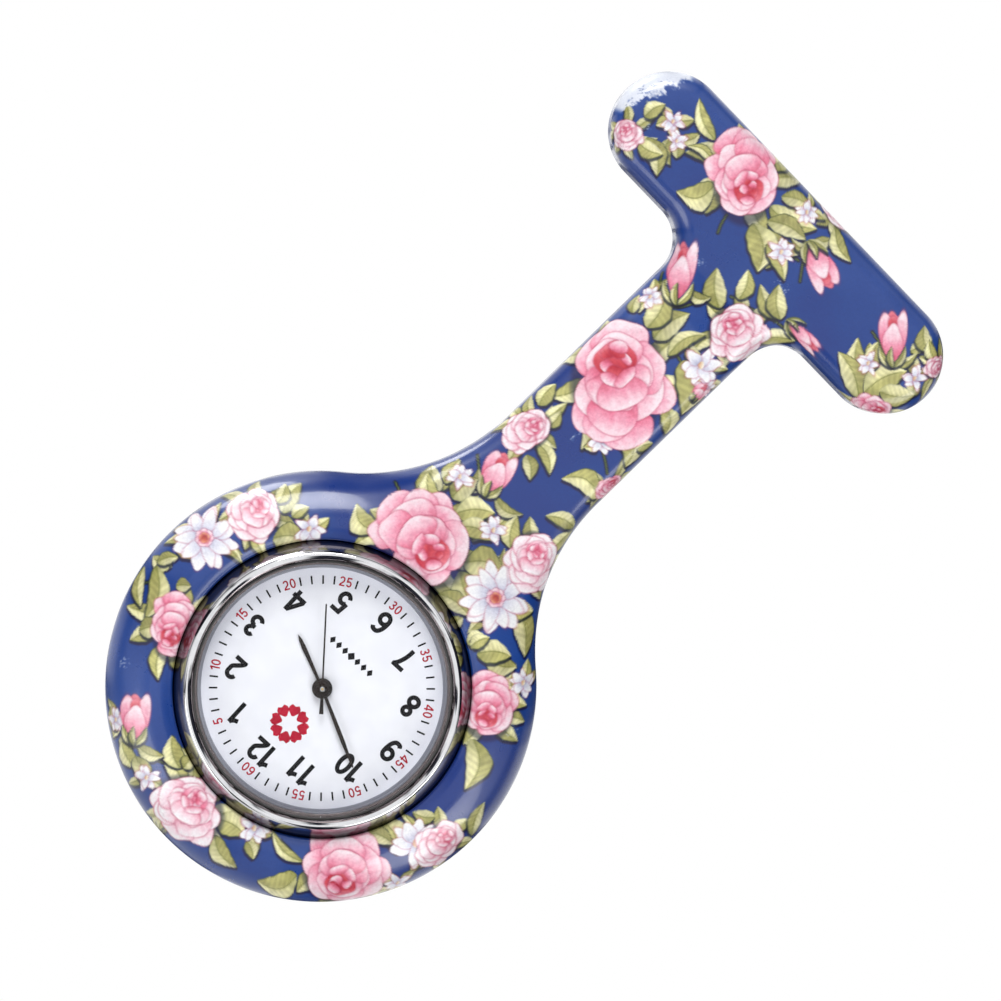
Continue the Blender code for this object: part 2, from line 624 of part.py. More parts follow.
head_part("battery", revolve([(0, 3.05), (2.75, 3.05), (2.80, 3.15), (3.30, 3.15), (3.40, 3.27), (3.40, 5.60),
                              (3.35, 5.65), (0, 5.65)], turn_on, 24), nickel, BATTERY_UV)
clamp = [(1.9, 6.2), (1.7, 7.3), (0.6, 7.5), (-0.6, 7.0), (-2.4, 5.4), (-4.6, 4.8), (-5.1, 3.9), (-4.4, 3.2), (-2.2, 3.9),
         (-0.2, 5.5)]
head_part("battery_clamp", layered([(2.87, 3.02, [clamp, circle(0.30, 8, post_d)])], face_on), steel)
screw("clamp_screw", post_d, 2.85, 1.1, 0.55, 0.22)

# ---- gear train ------------------------------------------------------------------------------
def wheel(name, uv, layers, mat):
    head_part(name, layered(layers, face_on), mat, uv, angle=30)


def phase(teeth, toward_deg, on_tooth=True):
    """Phase that puts a tooth (or a gap) on the line toward the mating wheel."""
    return toward_deg if on_tooth else toward_deg + 180.0 / teeth


ar = circle(0.12, 8)
ar2 = circle(0.14, 10)
# rotor: pinion drives the intermediate wheel; magnet sits in the stator's hole
wheel("rotor", ROTOR_UV, [(3.30, 3.58, [ar]), (3.58, 3.86, [gear(8, M_ROTOR, phase(8, A_ROTOR + 180))]),
                          (3.86, 4.30, [ar]), (4.30, 4.86, [circle(0.62, 16)]), (4.86, 5.45, [ar])], steel)
wheel("intermediate_wheel", INTER_UV, [(3.30, 3.64, [ar]), (3.64, 3.79, [gear(48, M_ROTOR, phase(48, A_ROTOR, False))]),
                                       (3.79, 4.12, [gear(8, M_SECONDS, phase(8, A_INTER + 180))]),
                                       (4.12, 5.45, [ar])], plastic_white)
wheel("seconds_wheel", (0, 0), [(3.30, 3.90, [ar2]), (3.90, 4.03, [gear(40, M_SECONDS, phase(40, A_INTER, False))]),
                                (4.03, 4.40, [gear(8, M_THIRD, phase(8, A_THIRD))]), (4.40, 7.62, [ar2]),
                                (7.62, 7.70, [circle(0.09, 10)])], brass)
wheel("third_wheel", THIRD_UV, [(3.30, 4.20, [ar]), (4.20, 4.34, [gear(60, M_THIRD, phase(60, A_THIRD + 180, False))]),
                                (4.34, 4.75, [gear(8, M_CENTRE, phase(8, A_THIRD + 180))]), (4.75, 5.45, [ar])], plastic_white)
bore_c = circle(0.19, 12)
wheel("centre_wheel", (0, 0), [(4.50, 4.64, [gear(64, M_CENTRE, phase(64, A_THIRD, False)), bore_c]),
                               (4.64, 5.63, [circle(0.34, 16), bore_c]),
                               (5.63, 5.79, [gear(10, M_MOTION, phase(10, 0)), bore_c]),
                               (5.79, 7.30, [circle(0.34, 16), bore_c])], brass)
bore_m = circle(0.19, 8)
wheel("minute_wheel", (MINUTE_U, 0), [(5.66, 5.79, [gear(30, M_MOTION, phase(30, 180, False)), bore_m]),
                                      (5.79, 5.94, [gear(8, M_MOTION, phase(8, 180)), bore_m])], plastic_white)
bore_h = circle(0.42, 16)
wheel("hour_wheel", (0, 0), [(5.82, 5.93, [gear(32, M_MOTION, phase(32, 0, False)), bore_h]),
                             (5.93, 6.94, [circle(0.70, 24), bore_h])], brass)
wheel("setting_wheel", (SETTING_U, 0), [(5.66, 5.79, [gear(16, M_MOTION, phase(16, 180)),
                                                      circle(0.19, 8)])], steel)

# ---- hands -----------------------------------------------------------------------------------


def hand(name, deg, hub_r, bore_r, f0, f1, f2, blade, tail=None):
    """A hub with a bore, a collet behind it and a blade outline in (across, along) pairs."""
    th = radians(deg)

    def along(p):
        x, y = p                                       # across, along; rotated clockwise from 12
        return (x * cos(th) + y * sin(th), -x * sin(th) + y * cos(th))
    w = blade[0]
    root = sqrt(hub_r ** 2 - w[0] ** 2)
    a0 = math.degrees(math.asin(w[0] / hub_r))
    right = [(w[0], root)] + list(blade[1:])
    outline = right + [(-x, y) for x, y in reversed(right) if x > 1e-9]
    if tail:
        t_w, t_l = tail
        t_root = sqrt(hub_r ** 2 - t_w ** 2)
        b0 = math.degrees(math.asin(t_w / hub_r))
        leftarc = [(-hub_r * sin(radians(t)), hub_r * cos(radians(t))) for t in np.linspace(a0, 180 - b0, 9)[1:-1]]
        outline += leftarc + [(-t_w, -t_root), (-t_w, -t_l), (t_w, -t_l), (t_w, -t_root)] \
            + [(-x, y) for x, y in reversed(leftarc)]
    else:
        outline += [(-hub_r * sin(radians(t)), hub_r * cos(radians(t))) for t in np.linspace(a0, 360 - a0, 22)[1:-1]]
    loop = [along(p) for p in outline]
    bore, collet = circle(bore_r, 16), circle(hub_r * 0.8, 20)
    head_part(name, layered([(f0, f1, [collet, bore]), (f1, f2, [loop, bore])], face_on), hand_black)


hand("hour_hand", HOUR_DEG, 0.98, 0.72, 6.56, 6.74, 6.88, [(0.14, 0), (0.22, 4.3), (0.16, 5.1), (0.0, 5.7)])
hand("minute_hand", MINUTE_DEG, 0.84, 0.36, 6.98, 7.10, 7.23, [(0.15, 0), (0.20, 4.2), (0.20, 5.6), (0.09, 8.05), (0.0, 8.2)])
hand("second_hand", SECOND_DEG, 0.62, 0.15, 7.34, 7.44, 7.53, [(0.085, 0), (0.075, 8.1), (0.0, 8.22)], (0.21, 2.43))

# ---- crown, stem and keyless work ------------------------------------------------------------


def stem_place(x, z, a):                               # revolve about the stem: a runs outward
    return (a, x, z)


CL_U0, CL_U1 = 4.4, 5.35
head_part("clutch_pinion", revolve([(0.48, 0), (0.86, 0), (0.86, 0.25), (0.66, 0.33), (0.66, 0.62), (0.86, 0.70),
                                    (0.86, 0.95), (0.48, 0.95)], lambda x, z, a: (CL_U0 + a, x, z), 14), steel, f=STEM_F)
stem = head_part("stem", revolve([(0, 3.9), (0.36, 3.9), (0.36, 5.4), (0.42, 5.4), (0.42, 6.4), (0.25, 6.45), (0.25, 7.05),
                                  (0.42, 7.1), (0.42, 16.05), (0, 16.05)], stem_place, 12), steel, f=STEM_F)
crown_pts = []
for k in range(48):
    rr = CROWN_R if k % 4 in (0, 1) else CROWN_R - 0.09
    crown_pts.append((rr * cos(2 * pi * k / 48), rr * sin(2 * pi * k / 48)))
crown_cap = circle(CROWN_R - 0.22, 24)
cbore, cstem = circle(1.05, 20), circle(0.46, 14)
head_part("crown", layered([(CROWN_U0, CROWN_U0 + 0.55, [crown_pts, cbore]), (CROWN_U0 + 0.55, 16.1, [crown_pts, cstem]),
                            (16.1, CROWN_U1 - 0.12, [crown_pts]), (CROWN_U1 - 0.12, CROWN_U1, [crown_cap])],
                           lambda p, a: (a, p[0], p[1])), chrome, f=STEM_F)
head_part("crown_gasket", revolve([(0.56, 15.26), (0.98, 15.26), (0.98, 15.56), (0.56, 15.56)], stem_place, 14), rubber, f=STEM_F)
head_part("crown_tube", revolve([(0.47, 12.35), (0.72, 12.35), (0.72, 15.16), (0.47, 15.16)], stem_place, 20), steel, f=STEM_F)

# setting lever: pivots on the main plate, its nose pin rides in the stem's groove
lu, lv = LEVER_UV
nose = (6.75 - lu, 0.0 - lv)
lever = hull(circle(0.5, 14) + circle(0.28, 10, nose))
head_part("setting_lever", layered([(4.60, 4.86, [circle(0.14, 8, nose)]), (4.86, 5.04, [lever]),
                                    (5.04, 5.42, [circle(0.26, 10)])], face_on), steel, LEVER_UV)

# ---- brooch ----------------------------------------------------------------------------------
PIVOT_X = -13.5
ears = [[(PIVOT_X - 0.95, z0), (PIVOT_X + 0.95, z0), (PIVOT_X + 0.95, z1), (PIVOT_X - 0.95, z1)]
        for z0, z1 in ((0.62, 1.0), (-1.0, -0.62))]
plate_loop = rounded_rect(POCK_X - 0.1, POCK_Z - 0.1, 0.9)
brooch = place_object("brooch_plate", layered([(-0.55, PLATE_F0, ears), (PLATE_F0, PLATE_F1, [plate_loop])], face_on), steel)
boolean(brooch, cylinder_bm((PIVOT_X, 0, -1.6), (PIVOT_X, 0, 1.6), 0.37, 16))

place_object("hinge_rivet", revolve([(0, -1.28), (0.6, -1.22), (0.6, -1.04), (0.34, -1.04), (0.34, 1.04), (0.6, 1.04),
                                     (0.6, 1.22), (0, 1.28)], lambda x, z, a: (x, z, a), 16), steel, loc=(PIVOT_X, 0, 0))


def c_loop(r0, r1, w, n=22, on_slot=(), on_arc=()):
    """C section about the pin, its slot of half width w open towards the back. on_slot adds corners
    on the slot's two edges at those radii, on_arc adds corners on the outer arc at those heights."""
    a1 = math.asin(w / r1)
    angs = list(np.linspace(a1, 2 * pi - a1, n))
    for h in on_arc:
        t = pi - math.asin(h / r1)
        angs = [q for q in angs if abs(q - t) > 0.06 and abs(q - (2 * pi - t)) > 0.06] + [t, 2 * pi - t]
    outer = [(r1 * cos(t), r1 * sin(t)) for t in sorted(angs)]
    a0 = math.asin(w / r0)
    inner = [(r0 * cos(t), r0 * sin(t)) for t in np.linspace(2 * pi - a0, a0, 18)]
    rs = sorted(on_slot)
    lower_edge = [(sqrt(r * r - w * w), -w) for r in reversed(rs)]
    upper_edge = [(sqrt(r * r - w * w), w) for r in rs]
    return outer + lower_edge + inner + upper_edge, len(outer)


def along_pin(p, a):                                   # p = (towards +Y, towards +Z), a along X
    return (a, p[0], p[1])


# fixed catch: a C-shaped barrel on a post that is soldered to the brooch plate
POST_HALF = 0.45
barrel, n_out = c_loop(0.66, 1.0, 0.58, on_arc=(POST_HALF,))
under = [k for k in range(n_out) if barrel[k][0] < 0 and abs(barrel[k][1]) < POST_HALF - 1e-6]
with_post = barrel[:under[0]] + [(-PLATE_F0 + 0.02, POST_HALF), (-PLATE_F0 + 0.02, -POST_HALF)] + barrel[under[-1] + 1:]
flange, _ = c_loop(0.66, 1.28, 0.58, on_slot=(1.0,))
place_object("pin_catch", layered([(11.9, 12.9, [with_post]), (12.9, 14.5, [barrel]), (14.5, 14.8, [flange])], along_pin), steel)

# safety collar: turns about the pin to close the catch's slot
col, outer_n = c_loop(1.05, 1.42, 0.66, 24)
TAB = 62.0
col_out, col_in = col[:outer_n], col[outer_n:]
ta = radians(TAB)
tab_dir, tab_side = (cos(ta), sin(ta)), (-sin(ta), cos(ta))
tw_ = 0.22
tab_pts = [(1.40 * tab_dir[0] - tw_ * tab_side[0], 1.40 * tab_dir[1] - tw_ * tab_side[1]),
           (2.15 * tab_dir[0] - tw_ * tab_side[0], 2.15 * tab_dir[1] - tw_ * tab_side[1]),
           (2.15 * tab_dir[0] + tw_ * tab_side[0], 2.15 * tab_dir[1] + tw_ * tab_side[1]),
           (1.40 * tab_dir[0] + tw_ * tab_side[0], 1.40 * tab_dir[1] + tw_ * tab_side[1])]
before = [p for p in col_out if 0 < math.degrees(atan2(p[1], p[0])) < TAB - 10]
after = [p for p in col_out if not (0 < math.degrees(atan2(p[1], p[0])) < TAB + 10)]
collar_loop = before + tab_pts + after + col_in
place_object("safety_collar", layered([(13.0, 14.4, [collar_loop])], along_pin), steel)

# pin needle: an eye on the rivet and a shaft to the point
eye_loop, eye_hole = circle(0.78, 20), circle(0.39, 16)
needle = place_object("pin_needle", layered([(-0.56, 0.56, [eye_loop, eye_hole])], lambda p, a: (p[0], p[1], a)), nickel,
                      loc=(PIVOT_X, 0, 0))
shaft = [(0, 0.55), (0.38, 0.55), (0.38, 24.8), (0.30, 26.4), (0.16, 27.9), (0, 28.4)]
sh = revolve(shaft, lambda x, z, a: (PIVOT_X + a, x, z), 14)
boolean(needle, sh, "UNION")
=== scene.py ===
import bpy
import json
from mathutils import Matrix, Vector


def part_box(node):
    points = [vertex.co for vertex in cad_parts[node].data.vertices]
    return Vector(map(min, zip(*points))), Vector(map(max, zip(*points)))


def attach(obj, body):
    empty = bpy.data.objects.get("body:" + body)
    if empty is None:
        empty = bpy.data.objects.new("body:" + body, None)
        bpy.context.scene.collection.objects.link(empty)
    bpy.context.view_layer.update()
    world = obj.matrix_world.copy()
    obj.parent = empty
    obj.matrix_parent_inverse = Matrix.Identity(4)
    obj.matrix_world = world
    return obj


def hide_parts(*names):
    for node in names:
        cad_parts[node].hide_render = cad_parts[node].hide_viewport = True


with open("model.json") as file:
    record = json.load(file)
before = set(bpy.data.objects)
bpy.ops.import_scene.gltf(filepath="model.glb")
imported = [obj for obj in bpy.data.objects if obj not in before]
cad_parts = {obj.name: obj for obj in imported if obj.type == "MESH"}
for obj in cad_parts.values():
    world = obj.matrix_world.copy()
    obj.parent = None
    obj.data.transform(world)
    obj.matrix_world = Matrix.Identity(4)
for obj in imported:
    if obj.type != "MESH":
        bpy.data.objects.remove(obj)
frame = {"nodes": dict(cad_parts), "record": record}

"""Nurse's fob watch: a printed silicone sleeve with a small chrome quartz watch in it.

Lengths are millimetres in the helpers and metres in the scene. Depths are f, millimetres forward
of the brooch pin (f = -y). The watch head's own frame is u to the dial's right, v to its 12."""
import json
import math
from math import sin, cos, pi, radians, sqrt, hypot, atan2

import bpy
import bmesh
import numpy as np
from mathutils import Matrix, Vector
from mathutils.geometry import delaunay_2d_cdt

MM = 0.001
ROOT = "head_and_sleeve"


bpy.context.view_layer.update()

# ---- sizes; the head's height and the bar's length are taken from the imported nodes, the rest are given ---
_lo, _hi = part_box("watch_case")
HEAD_Z = round((_lo.z + _hi.z) / 2 / MM, 3)            # watch head centre below the pin
_lo, _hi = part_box("silicone_sleeve")
HEAD_R = 20.8
HEAD_FILLET = 20.0
NECK_W = 6.05
BAR_H = 5.65
BAR_Z = 0.30
BAR_L = round(_hi.x / MM, 3)
BAR_FILLET = 3.9
BACK_F = 0.9
NECK_F = 5.4
HEAD_F = 8.5
BAR_RISE = 1.3
EDGE_F = 2.0
EDGE_B = 1.0
LIP_R = 14.33
LIP_ROUND = 0.35
REAR_R = 11.0
REAR_ROUND = 0.3
HEAD_TWIST = -3.25
STEM_F = 4.3
STEM_R_POCKET = 1.58
POCKET_U = 17.7
WIN_X, WIN_Z = 15.6, 2.35
POCK_X, POCK_Z = 16.9, 3.15
POCK_F0, POCK_F1 = 1.65, 2.25

HEAD = Matrix.Translation((0, 0, HEAD_Z * MM)) @ Matrix.Rotation(pi + radians(HEAD_TWIST), 4, "Y")


def circle(r, n, c=(0.0, 0.0), start=0.0):
    return [(c[0] + r * cos(2 * pi * k / n + start), c[1] + r * sin(2 * pi * k / n + start)) for k in range(n)]


def arc(c, r, a0, a1, n):
    return [(c[0] + r * cos(radians(a0 + (a1 - a0) * k / n)), c[1] + r * sin(radians(a0 + (a1 - a0) * k / n)))
            for k in range(n + 1)]


def rounded_rect(hx, hz, r, n=4, c=(0.0, 0.0)):
    pts = []
    for (sx, sz, a) in ((1, 1, 0), (-1, 1, 90), (-1, -1, 180), (1, -1, 270)):
        pts += arc((c[0] + sx * (hx - r), c[1] + sz * (hz - r)), r, a, a + 90, n)
    return pts


def subdivide_loop(pts, step):
    """Adds points along the straight runs of a closed loop."""
    out = []
    for a, b in zip(pts, pts[1:] + pts[:1]):
        n = max(1, int(math.ceil(hypot(b[0] - a[0], b[1] - a[1]) / step)))
        out += [(a[0] + (b[0] - a[0]) * k / n, a[1] + (b[1] - a[1]) * k / n) for k in range(n)]
    return out


# ---- the print ---------------------------------------------------------------------------------
def ss(e0, e1, x):
    t = np.clip((x - e0) / (e1 - e0), 0.0, 1.0)
    return t * t * (3.0 - 2.0 * t)


def rgb(*c):
    return np.array(c, np.float32) / 255.0


def lattice_noise(shape, cells, seed):
    """Smooth value noise over an array, cells lattice steps along its long side."""
    h, w = shape
    step = max(h, w) / cells
    gh, gw = int(h / step) + 3, int(w / step) + 3
    g = np.random.default_rng(seed).random((gh, gw)).astype(np.float32)
    y, x = np.arange(h) / step, np.arange(w) / step
    iy, ix = y.astype(int), x.astype(int)
    fy, fx = y - iy, x - ix
    fy, fx = (fy * fy * (3 - 2 * fy))[:, None], (fx * fx * (3 - 2 * fx))[None, :]
    a, b = g[iy][:, ix], g[iy][:, ix + 1]
    c, d = g[iy + 1][:, ix], g[iy + 1][:, ix + 1]
    return ((a * (1 - fx) + b * fx) * (1 - fy) + (c * (1 - fx) + d * fx) * fy).astype(np.float32)


class Print:
    """A flower print laid on a sheet, x and z in millimetres, painted in layers."""

    def __init__(self, x0, x1, z0, z1, px, seed):
        self.x0, self.z0, self.px = x0, z0, px
        self.w, self.h = int(round((x1 - x0) / px)), int(round((z1 - z0) / px))
        s = (self.h, self.w)
        n = 0.72 * lattice_noise(s, 11, seed) + 0.22 * lattice_noise(s, 37, seed + 1) + 0.06 * lattice_noise(s, 420, seed + 2)
        n = ss(0.2, 0.8, n)[..., None]
        self.img = rgb(42, 67, 134) * (1 - n) + rgb(57, 83, 152) * n
        self.ground = self.img.copy()
        self.fine = lattice_noise(s, 700, seed + 3)
        self.mid = lattice_noise(s, 190, seed + 4)
        self.rng = np.random.default_rng(seed + 9)

    def window(self, cx, cz, r):
        i0, i1 = int((cz - r - self.z0) / self.px), int((cz + r - self.z0) / self.px) + 1
        j0, j1 = int((cx - r - self.x0) / self.px), int((cx + r - self.x0) / self.px) + 1
        i0, j0, i1, j1 = max(i0, 0), max(j0, 0), min(i1, self.h), min(j1, self.w)
        if i0 >= i1 or j0 >= j1:
            return None
        z = self.z0 + (np.arange(i0, i1) + 0.5) * self.px
        x = self.x0 + (np.arange(j0, j1) + 0.5) * self.px
        X, Z = np.meshgrid(x - cx, z - cz)
        return (slice(i0, i1), slice(j0, j1)), X.astype(np.float32), Z.astype(np.float32)

    def over(self, sl, colour, alpha):
        a = np.clip(alpha, 0, 1)[..., None]
        self.img[sl] = self.img[sl] * (1 - a) + colour * a

    # -- a leaf from its stalk end (x0, z0) to its tip, half width w, bent sideways by b
    def leaf(self, x0, z0, x1, z1, w, b, tone=None):
        L = hypot(x1 - x0, z1 - z0)
        win = self.window((x0 + x1) / 2, (z0 + z1) / 2, L * 0.62 + w + 0.5)
        if win is None:
            return
        sl, X, Z = win
        ux, uz = (x1 - x0) / L, (z1 - z0) / L
        tone = self.rng.uniform(-1, 1) if tone is None else tone

        def shape(dx, dz, grow):
            s = ((X - dx) * ux + (Z - dz) * uz) / L + 0.5
            t = -(X - dx) * uz + (Z - dz) * ux
            sc = np.clip(s, 0, 1)
            t = t - b * L * np.sin(pi * sc)
            half = w * np.maximum(np.sin(pi * sc ** 0.78), 0) ** 0.85 * (1 + 0.030 * np.sin(sc * 23 + tone * 9)) + grow
            half = np.where((s < 0) | (s > 1), -0.3 - np.abs(s - 0.5), half)
            return s, t, half

        s, t, half = shape(0.13, -0.16, 0.10)
        self.over(sl, rgb(24, 30, 50), 0.72 * ss(0.10, -0.10, np.abs(t) - half))
        s, t, half = shape(0, 0, 0)
        cover = ss(0.05, -0.05, np.abs(t) - half)
        v = t / np.maximum(half, 0.05)
        lit = ss(-0.25, 0.35, v * (1 if tone > 0 else -1))[..., None]
        vein = np.sin((s * 7.5 + np.abs(v) * 1.1) * 2 * pi)
        col = rgb(180, 176, 112) * (1 - lit) + rgb(231, 226, 172) * lit
        col = col * (1 + 0.10 * tone + 0.05 * vein[..., None] + 0.22 * (self.mid[sl][..., None] - 0.5))
        pale = (ss(0.45, 1.0, np.abs(v)) * ss(0.1, 0.6, s))[..., None] * lit * 0.5
        col = col * (1 - pale) + rgb(238, 234, 196) * pale
        root = ss(0.45, 0.0, s)[..., None] * 0.38
        col = col * (1 - root) + rgb(122, 126, 66) * root
        rib = (ss(0.11, 0.03, np.abs(t)) * ss(1.0, 0.75, s))[..., None] * 0.6
        col = col * (1 - rib) + rgb(118, 122, 64) * rib
        edge = ss(-0.16, -0.03, np.abs(t) - half)[..., None] * (0.75 - 0.55 * lit)
        col = col * (1 - edge) + rgb(66, 76, 50) * edge
        self.over(sl, col, cover)

    # -- one petal: an ellipse whose rim side faces the direction deg
    def petal(self, cx, cz, a, b, deg, ramp, line=0.5, wav=0.05, k=3, ph=0.0, tip=0.0):
        win = self.window(cx, cz, max(a, b) * 1.35 + 0.3)
        if win is None:
            return
        sl, X, Z = win
        c, s = cos(radians(deg)), sin(radians(deg))
        v = (X * c + Z * s) / b                              # outward
        u = (-X * s + Z * c) / a
        th = np.arctan2(v, u)
        rad = np.sqrt(u * u + v * v) / (1 + wav * np.sin(k * th + ph) + tip * np.maximum(0, np.sin(th)) ** 8)
        size = min(a, b)
        d = (rad - 1) * size
        self.over(sl, rgb(168, 62, 92), 0.34 * ss(0.16, 0.0, d) * (line > 0))
        # strokes of the brush run from the petal's root to its rim
        hair = np.sin(u * 13 + ph * 3 + 2.2 * self.mid[sl]) * np.sin(u * 5 + ph)
        g = v + 0.34 * (self.mid[sl] - 0.5) + 0.16 * (self.fine[sl] - 0.5) + 0.11 * hair + 0.10 * u * np.sin(ph * 7)
        stops = (-0.95, -0.25, 0.35, 0.85)
        col = np.empty(X.shape + (3,), np.float32)
        for ch in range(3):
            col[..., ch] = np.interp(g, stops, [r[ch] for r in ramp])
        col *= 1 + 0.06 * (self.fine[sl][..., None] - 0.5)
        rim = ss(-0.11, -0.02, d)[..., None] * line * (0.25 + 0.75 * ss(0.25, 0.7, self.mid[sl]))[..., None]
        col = col * (1 - rim) + rgb(216, 100, 124) * rim
        self.over(sl, col, ss(0.045, -0.045, d))

    RAMPS = {
        "pink": (rgb(208, 78, 104), rgb(238, 128, 156), rgb(250, 178, 198), rgb(255, 222, 231)),
        "mid": (rgb(218, 98, 124), rgb(243, 152, 176), rgb(252, 200, 214), rgb(255, 234, 240)),
        "pale": (rgb(226, 126, 148), rgb(247, 190, 206), rgb(254, 228, 236), rgb(255, 249, 251)),
        "deep": (rgb(184, 44, 62), rgb(206, 66, 80), rgb(222, 92, 104), rgb(236, 128, 142)),
        "white": (rgb(176, 178, 205), rgb(226, 226, 240), rgb(248, 248, 252), rgb(255, 255, 255)),
    }

    def rose(self, x, z, R, deg, squash, sdeg, kind, seed):
        rng = np.random.default_rng(seed)
        outer, inner = (("pink", "mid") if kind == "pink" else ("pale", "pale"))
        d = radians(deg)
        ca, sa = cos(radians(sdeg)), sin(radians(sdeg))

        def put(px, pz, a, b, ang, ramp, line=0.45, tip=0.0):
            # squash the whole flower along one direction
            u, v = px * ca + pz * sa, -px * sa + pz * ca
            v *= squash
            qx, qz = u * ca - v * sa, u * sa + v * ca
            self.petal(x + R * qx, z + R * qz, R * a * (0.5 + squash / 2), R * b * (0.5 + squash / 2), ang, self.RAMPS[ramp],
                       line, rng.uniform(0.02, 0.06), int(rng.integers(3, 6)), rng.uniform(0, 6), tip)

        def at(r, ang, push):
            return r * cos(radians(ang)) + push * cos(d), r * sin(radians(ang)) + push * sin(d)

        win = self.window(x + 0.16, z - 0.18, R * 1.2)
        if win is not None:
            sl, X, Z = win
            u, v = X * ca + Z * sa, (-X * sa + Z * ca) / squash
            self.over(sl, rgb(26, 32, 62), 0.55 * ss(1.06, 0.90, np.hypot(u, v) / R))
        back = deg + 180
        # flared petals away from the opening
        for off, r, a, b in ((-66, 0.76, 0.38, 0.34), (52, 0.78, 0.36, 0.36), (4, 0.80, 0.50, 0.32), (-28, 0.70, 0.40, 0.36)):
            ang = back + off + rng.uniform(-8, 8)
            put(*at(r, ang, 0), a, b, ang, outer, 0.5, 0.10)
        # outer ring
        start = rng.uniform(0, 60)
        order = list(range(6))
        rng.shuffle(order)
        for k in order:
            ang = start + 60 * k + rng.uniform(-16, 16)
            put(*at(0.52 + rng.uniform(-0.03, 0.04), ang, 0.02), rng.uniform(0.40, 0.54), rng.uniform(0.34, 0.43), ang,
                outer if k % 2 else inner, 0.5, rng.uniform(-0.05, 0.08))
        # cup of the flower
        for k in range(5):
            ang = start + 30 + 72 * k + rng.uniform(-18, 18)
            put(*at(0.33, ang, 0.10), rng.uniform(0.32, 0.46), rng.uniform(0.26, 0.35), ang, inner if k % 3 else outer, 0.45)
        for off in (-34, 38, 2):
            ang = back + off
            put(*at(0.30, ang, 0.08), 0.46, 0.30, ang, inner if off else outer, 0.5)
        # the opening
        put(*at(0.0, 0, 0.31), 0.37, 0.33, deg, "deep" if kind == "pink" else "pink", 0.2)
        for k in range(5):
            ang = deg + 72 * k + 35 + rng.uniform(-20, 20)
            put(*at(rng.uniform(0.13, 0.22), ang, 0.29), rng.uniform(0.10, 0.19), rng.uniform(0.07, 0.12), ang + rng.uniform(-40, 40),
                ("deep", "pink", "deep", "mid", "deep")[k] if kind == "pink" else ("pink", "pale", "mid", "pale", "pink")[k], 0.3)
        for off, r, a in ((140, 0.24, 0.20), (212, 0.26, 0.24), (-24, 0.30, 0.17)):
            ang = deg + off
            put(*at(r, ang, 0.22), a, 0.11, ang, inner, 0.4)

    def star(self, x, z, R, n, seed, core=True):
        rng = np.random.default_rng(seed)
        st = rng.uniform(0, 360)
        R = 1.28 * R
        for ring in (0, 1):
            for k in range(n - ring):
                ang = st + 33 * ring + 360 / (n - ring) * k + rng.uniform(-14, 14)
                r = R * rng.uniform(0.46, 0.58) * (1 - 0.18 * ring)
                self.petal(x + r * cos(radians(ang)), z + r * sin(radians(ang)), R * rng.uniform(0.22, 0.31), R * rng.uniform(0.36, 0.50), ang,
                           self.RAMPS["white"], 0.06, 0.10, 3, rng.uniform(0, 6), 0.20)
        if core:
            self.petal(x, z, R * 0.2, R * 0.15, 30, (rgb(208, 150, 120), rgb(232, 196, 160), rgb(244, 226, 196), rgb(250, 242, 224)), 0.0)

    def daisy(self, x, z, R, n, seed):
        rng = np.random.default_rng(seed)
        for ring, r0, wa in ((n, 0.62, 0.24), (n - 1, 0.48, 0.20)):
            st = rng.uniform(0, 360)
            for k in range(ring):
                ang = st + 360 / ring * k + rng.uniform(-9, 9)
                self.petal(x + r0 * R * cos(radians(ang)), z + r0 * R * sin(radians(ang)), R * wa, R * 0.40, ang,
                           self.RAMPS["white"], 0.12, 0.07, 3, rng.uniform(0, 6), 0.2)
        for k in range(7):
            ang = 51 * k + rng.uniform(-10, 10)
            self.petal(x + 0.14 * R * cos(radians(ang)), z + 0.14 * R * sin(radians(ang)), R * 0.15, R * 0.15, ang,
                       self.RAMPS["mid"], 0.2, 0.1, 3, 1.0)
        for k in range(5):
            ang = 72 * k + rng.uniform(-10, 10)
            self.petal(x + 0.06 * R * cos(radians(ang)), z + 0.06 * R * sin(radians(ang)), R * 0.10, R * 0.12, ang,
                       (rgb(170, 70, 60), rgb(206, 98, 84), rgb(226, 138, 112), rgb(238, 176, 140)), 0.1)

    def bud(self, x0, z0, x1, z1, w):
        L = hypot(x1 - x0, z1 - z0)
        deg = math.degrees(atan2(z1 - z0, x1 - x0))
        ux, uz = (x1 - x0) / L, (z1 - z0) / L
        at = lambda s, t: (x0 + ux * L * s - uz * w * t, z0 + uz * L * s + ux * w * t)
        R = self.RAMPS
        self.petal(*at(0.62, 0), w * 0.82, L * 0.40, deg, R["deep"], 0.3, 0.10, 5, 1.0)
        self.petal(*at(0.58, 0.50), w * 0.56, L * 0.42, deg + 7, R["pink"], 0.5, 0.05, 3, 0.4, 0.10)
        self.petal(*at(0.60, -0.52), w * 0.54, L * 0.42, deg - 8, R["mid"], 0.5, 0.05, 3, 2.4, 0.10)
        self.petal(*at(0.76, 0.05), w * 0.34, L * 0.18, deg, R["deep"], 0.2, 0.08, 3, 0.4, 0.1)
        self.petal(*at(0.40, 0.02), w * 0.74, L * 0.37, deg, R["mid"], 0.4, 0.05, 4, 0.9, 0.06)
        for off, ln in ((38, 0.46), (-36, 0.44), (4, 0.34)):
            a = radians(deg + off)
            self.leaf(x0 - ux * 0.1 * L, z0 - uz * 0.1 * L, x0 + cos(a) * L * ln, z0 + sin(a) * L * ln, w * 0.26, 0.12 if off > 0 else -0.12)

    def stem(self, pts):
        pts = np.array(pts, float)
        c, r = pts.mean(axis=0), np.abs(pts - pts.mean(axis=0)).max() + 0.6
        win = self.window(c[0], c[1], r)
        if win is None:
            return
        sl, X, Z = win
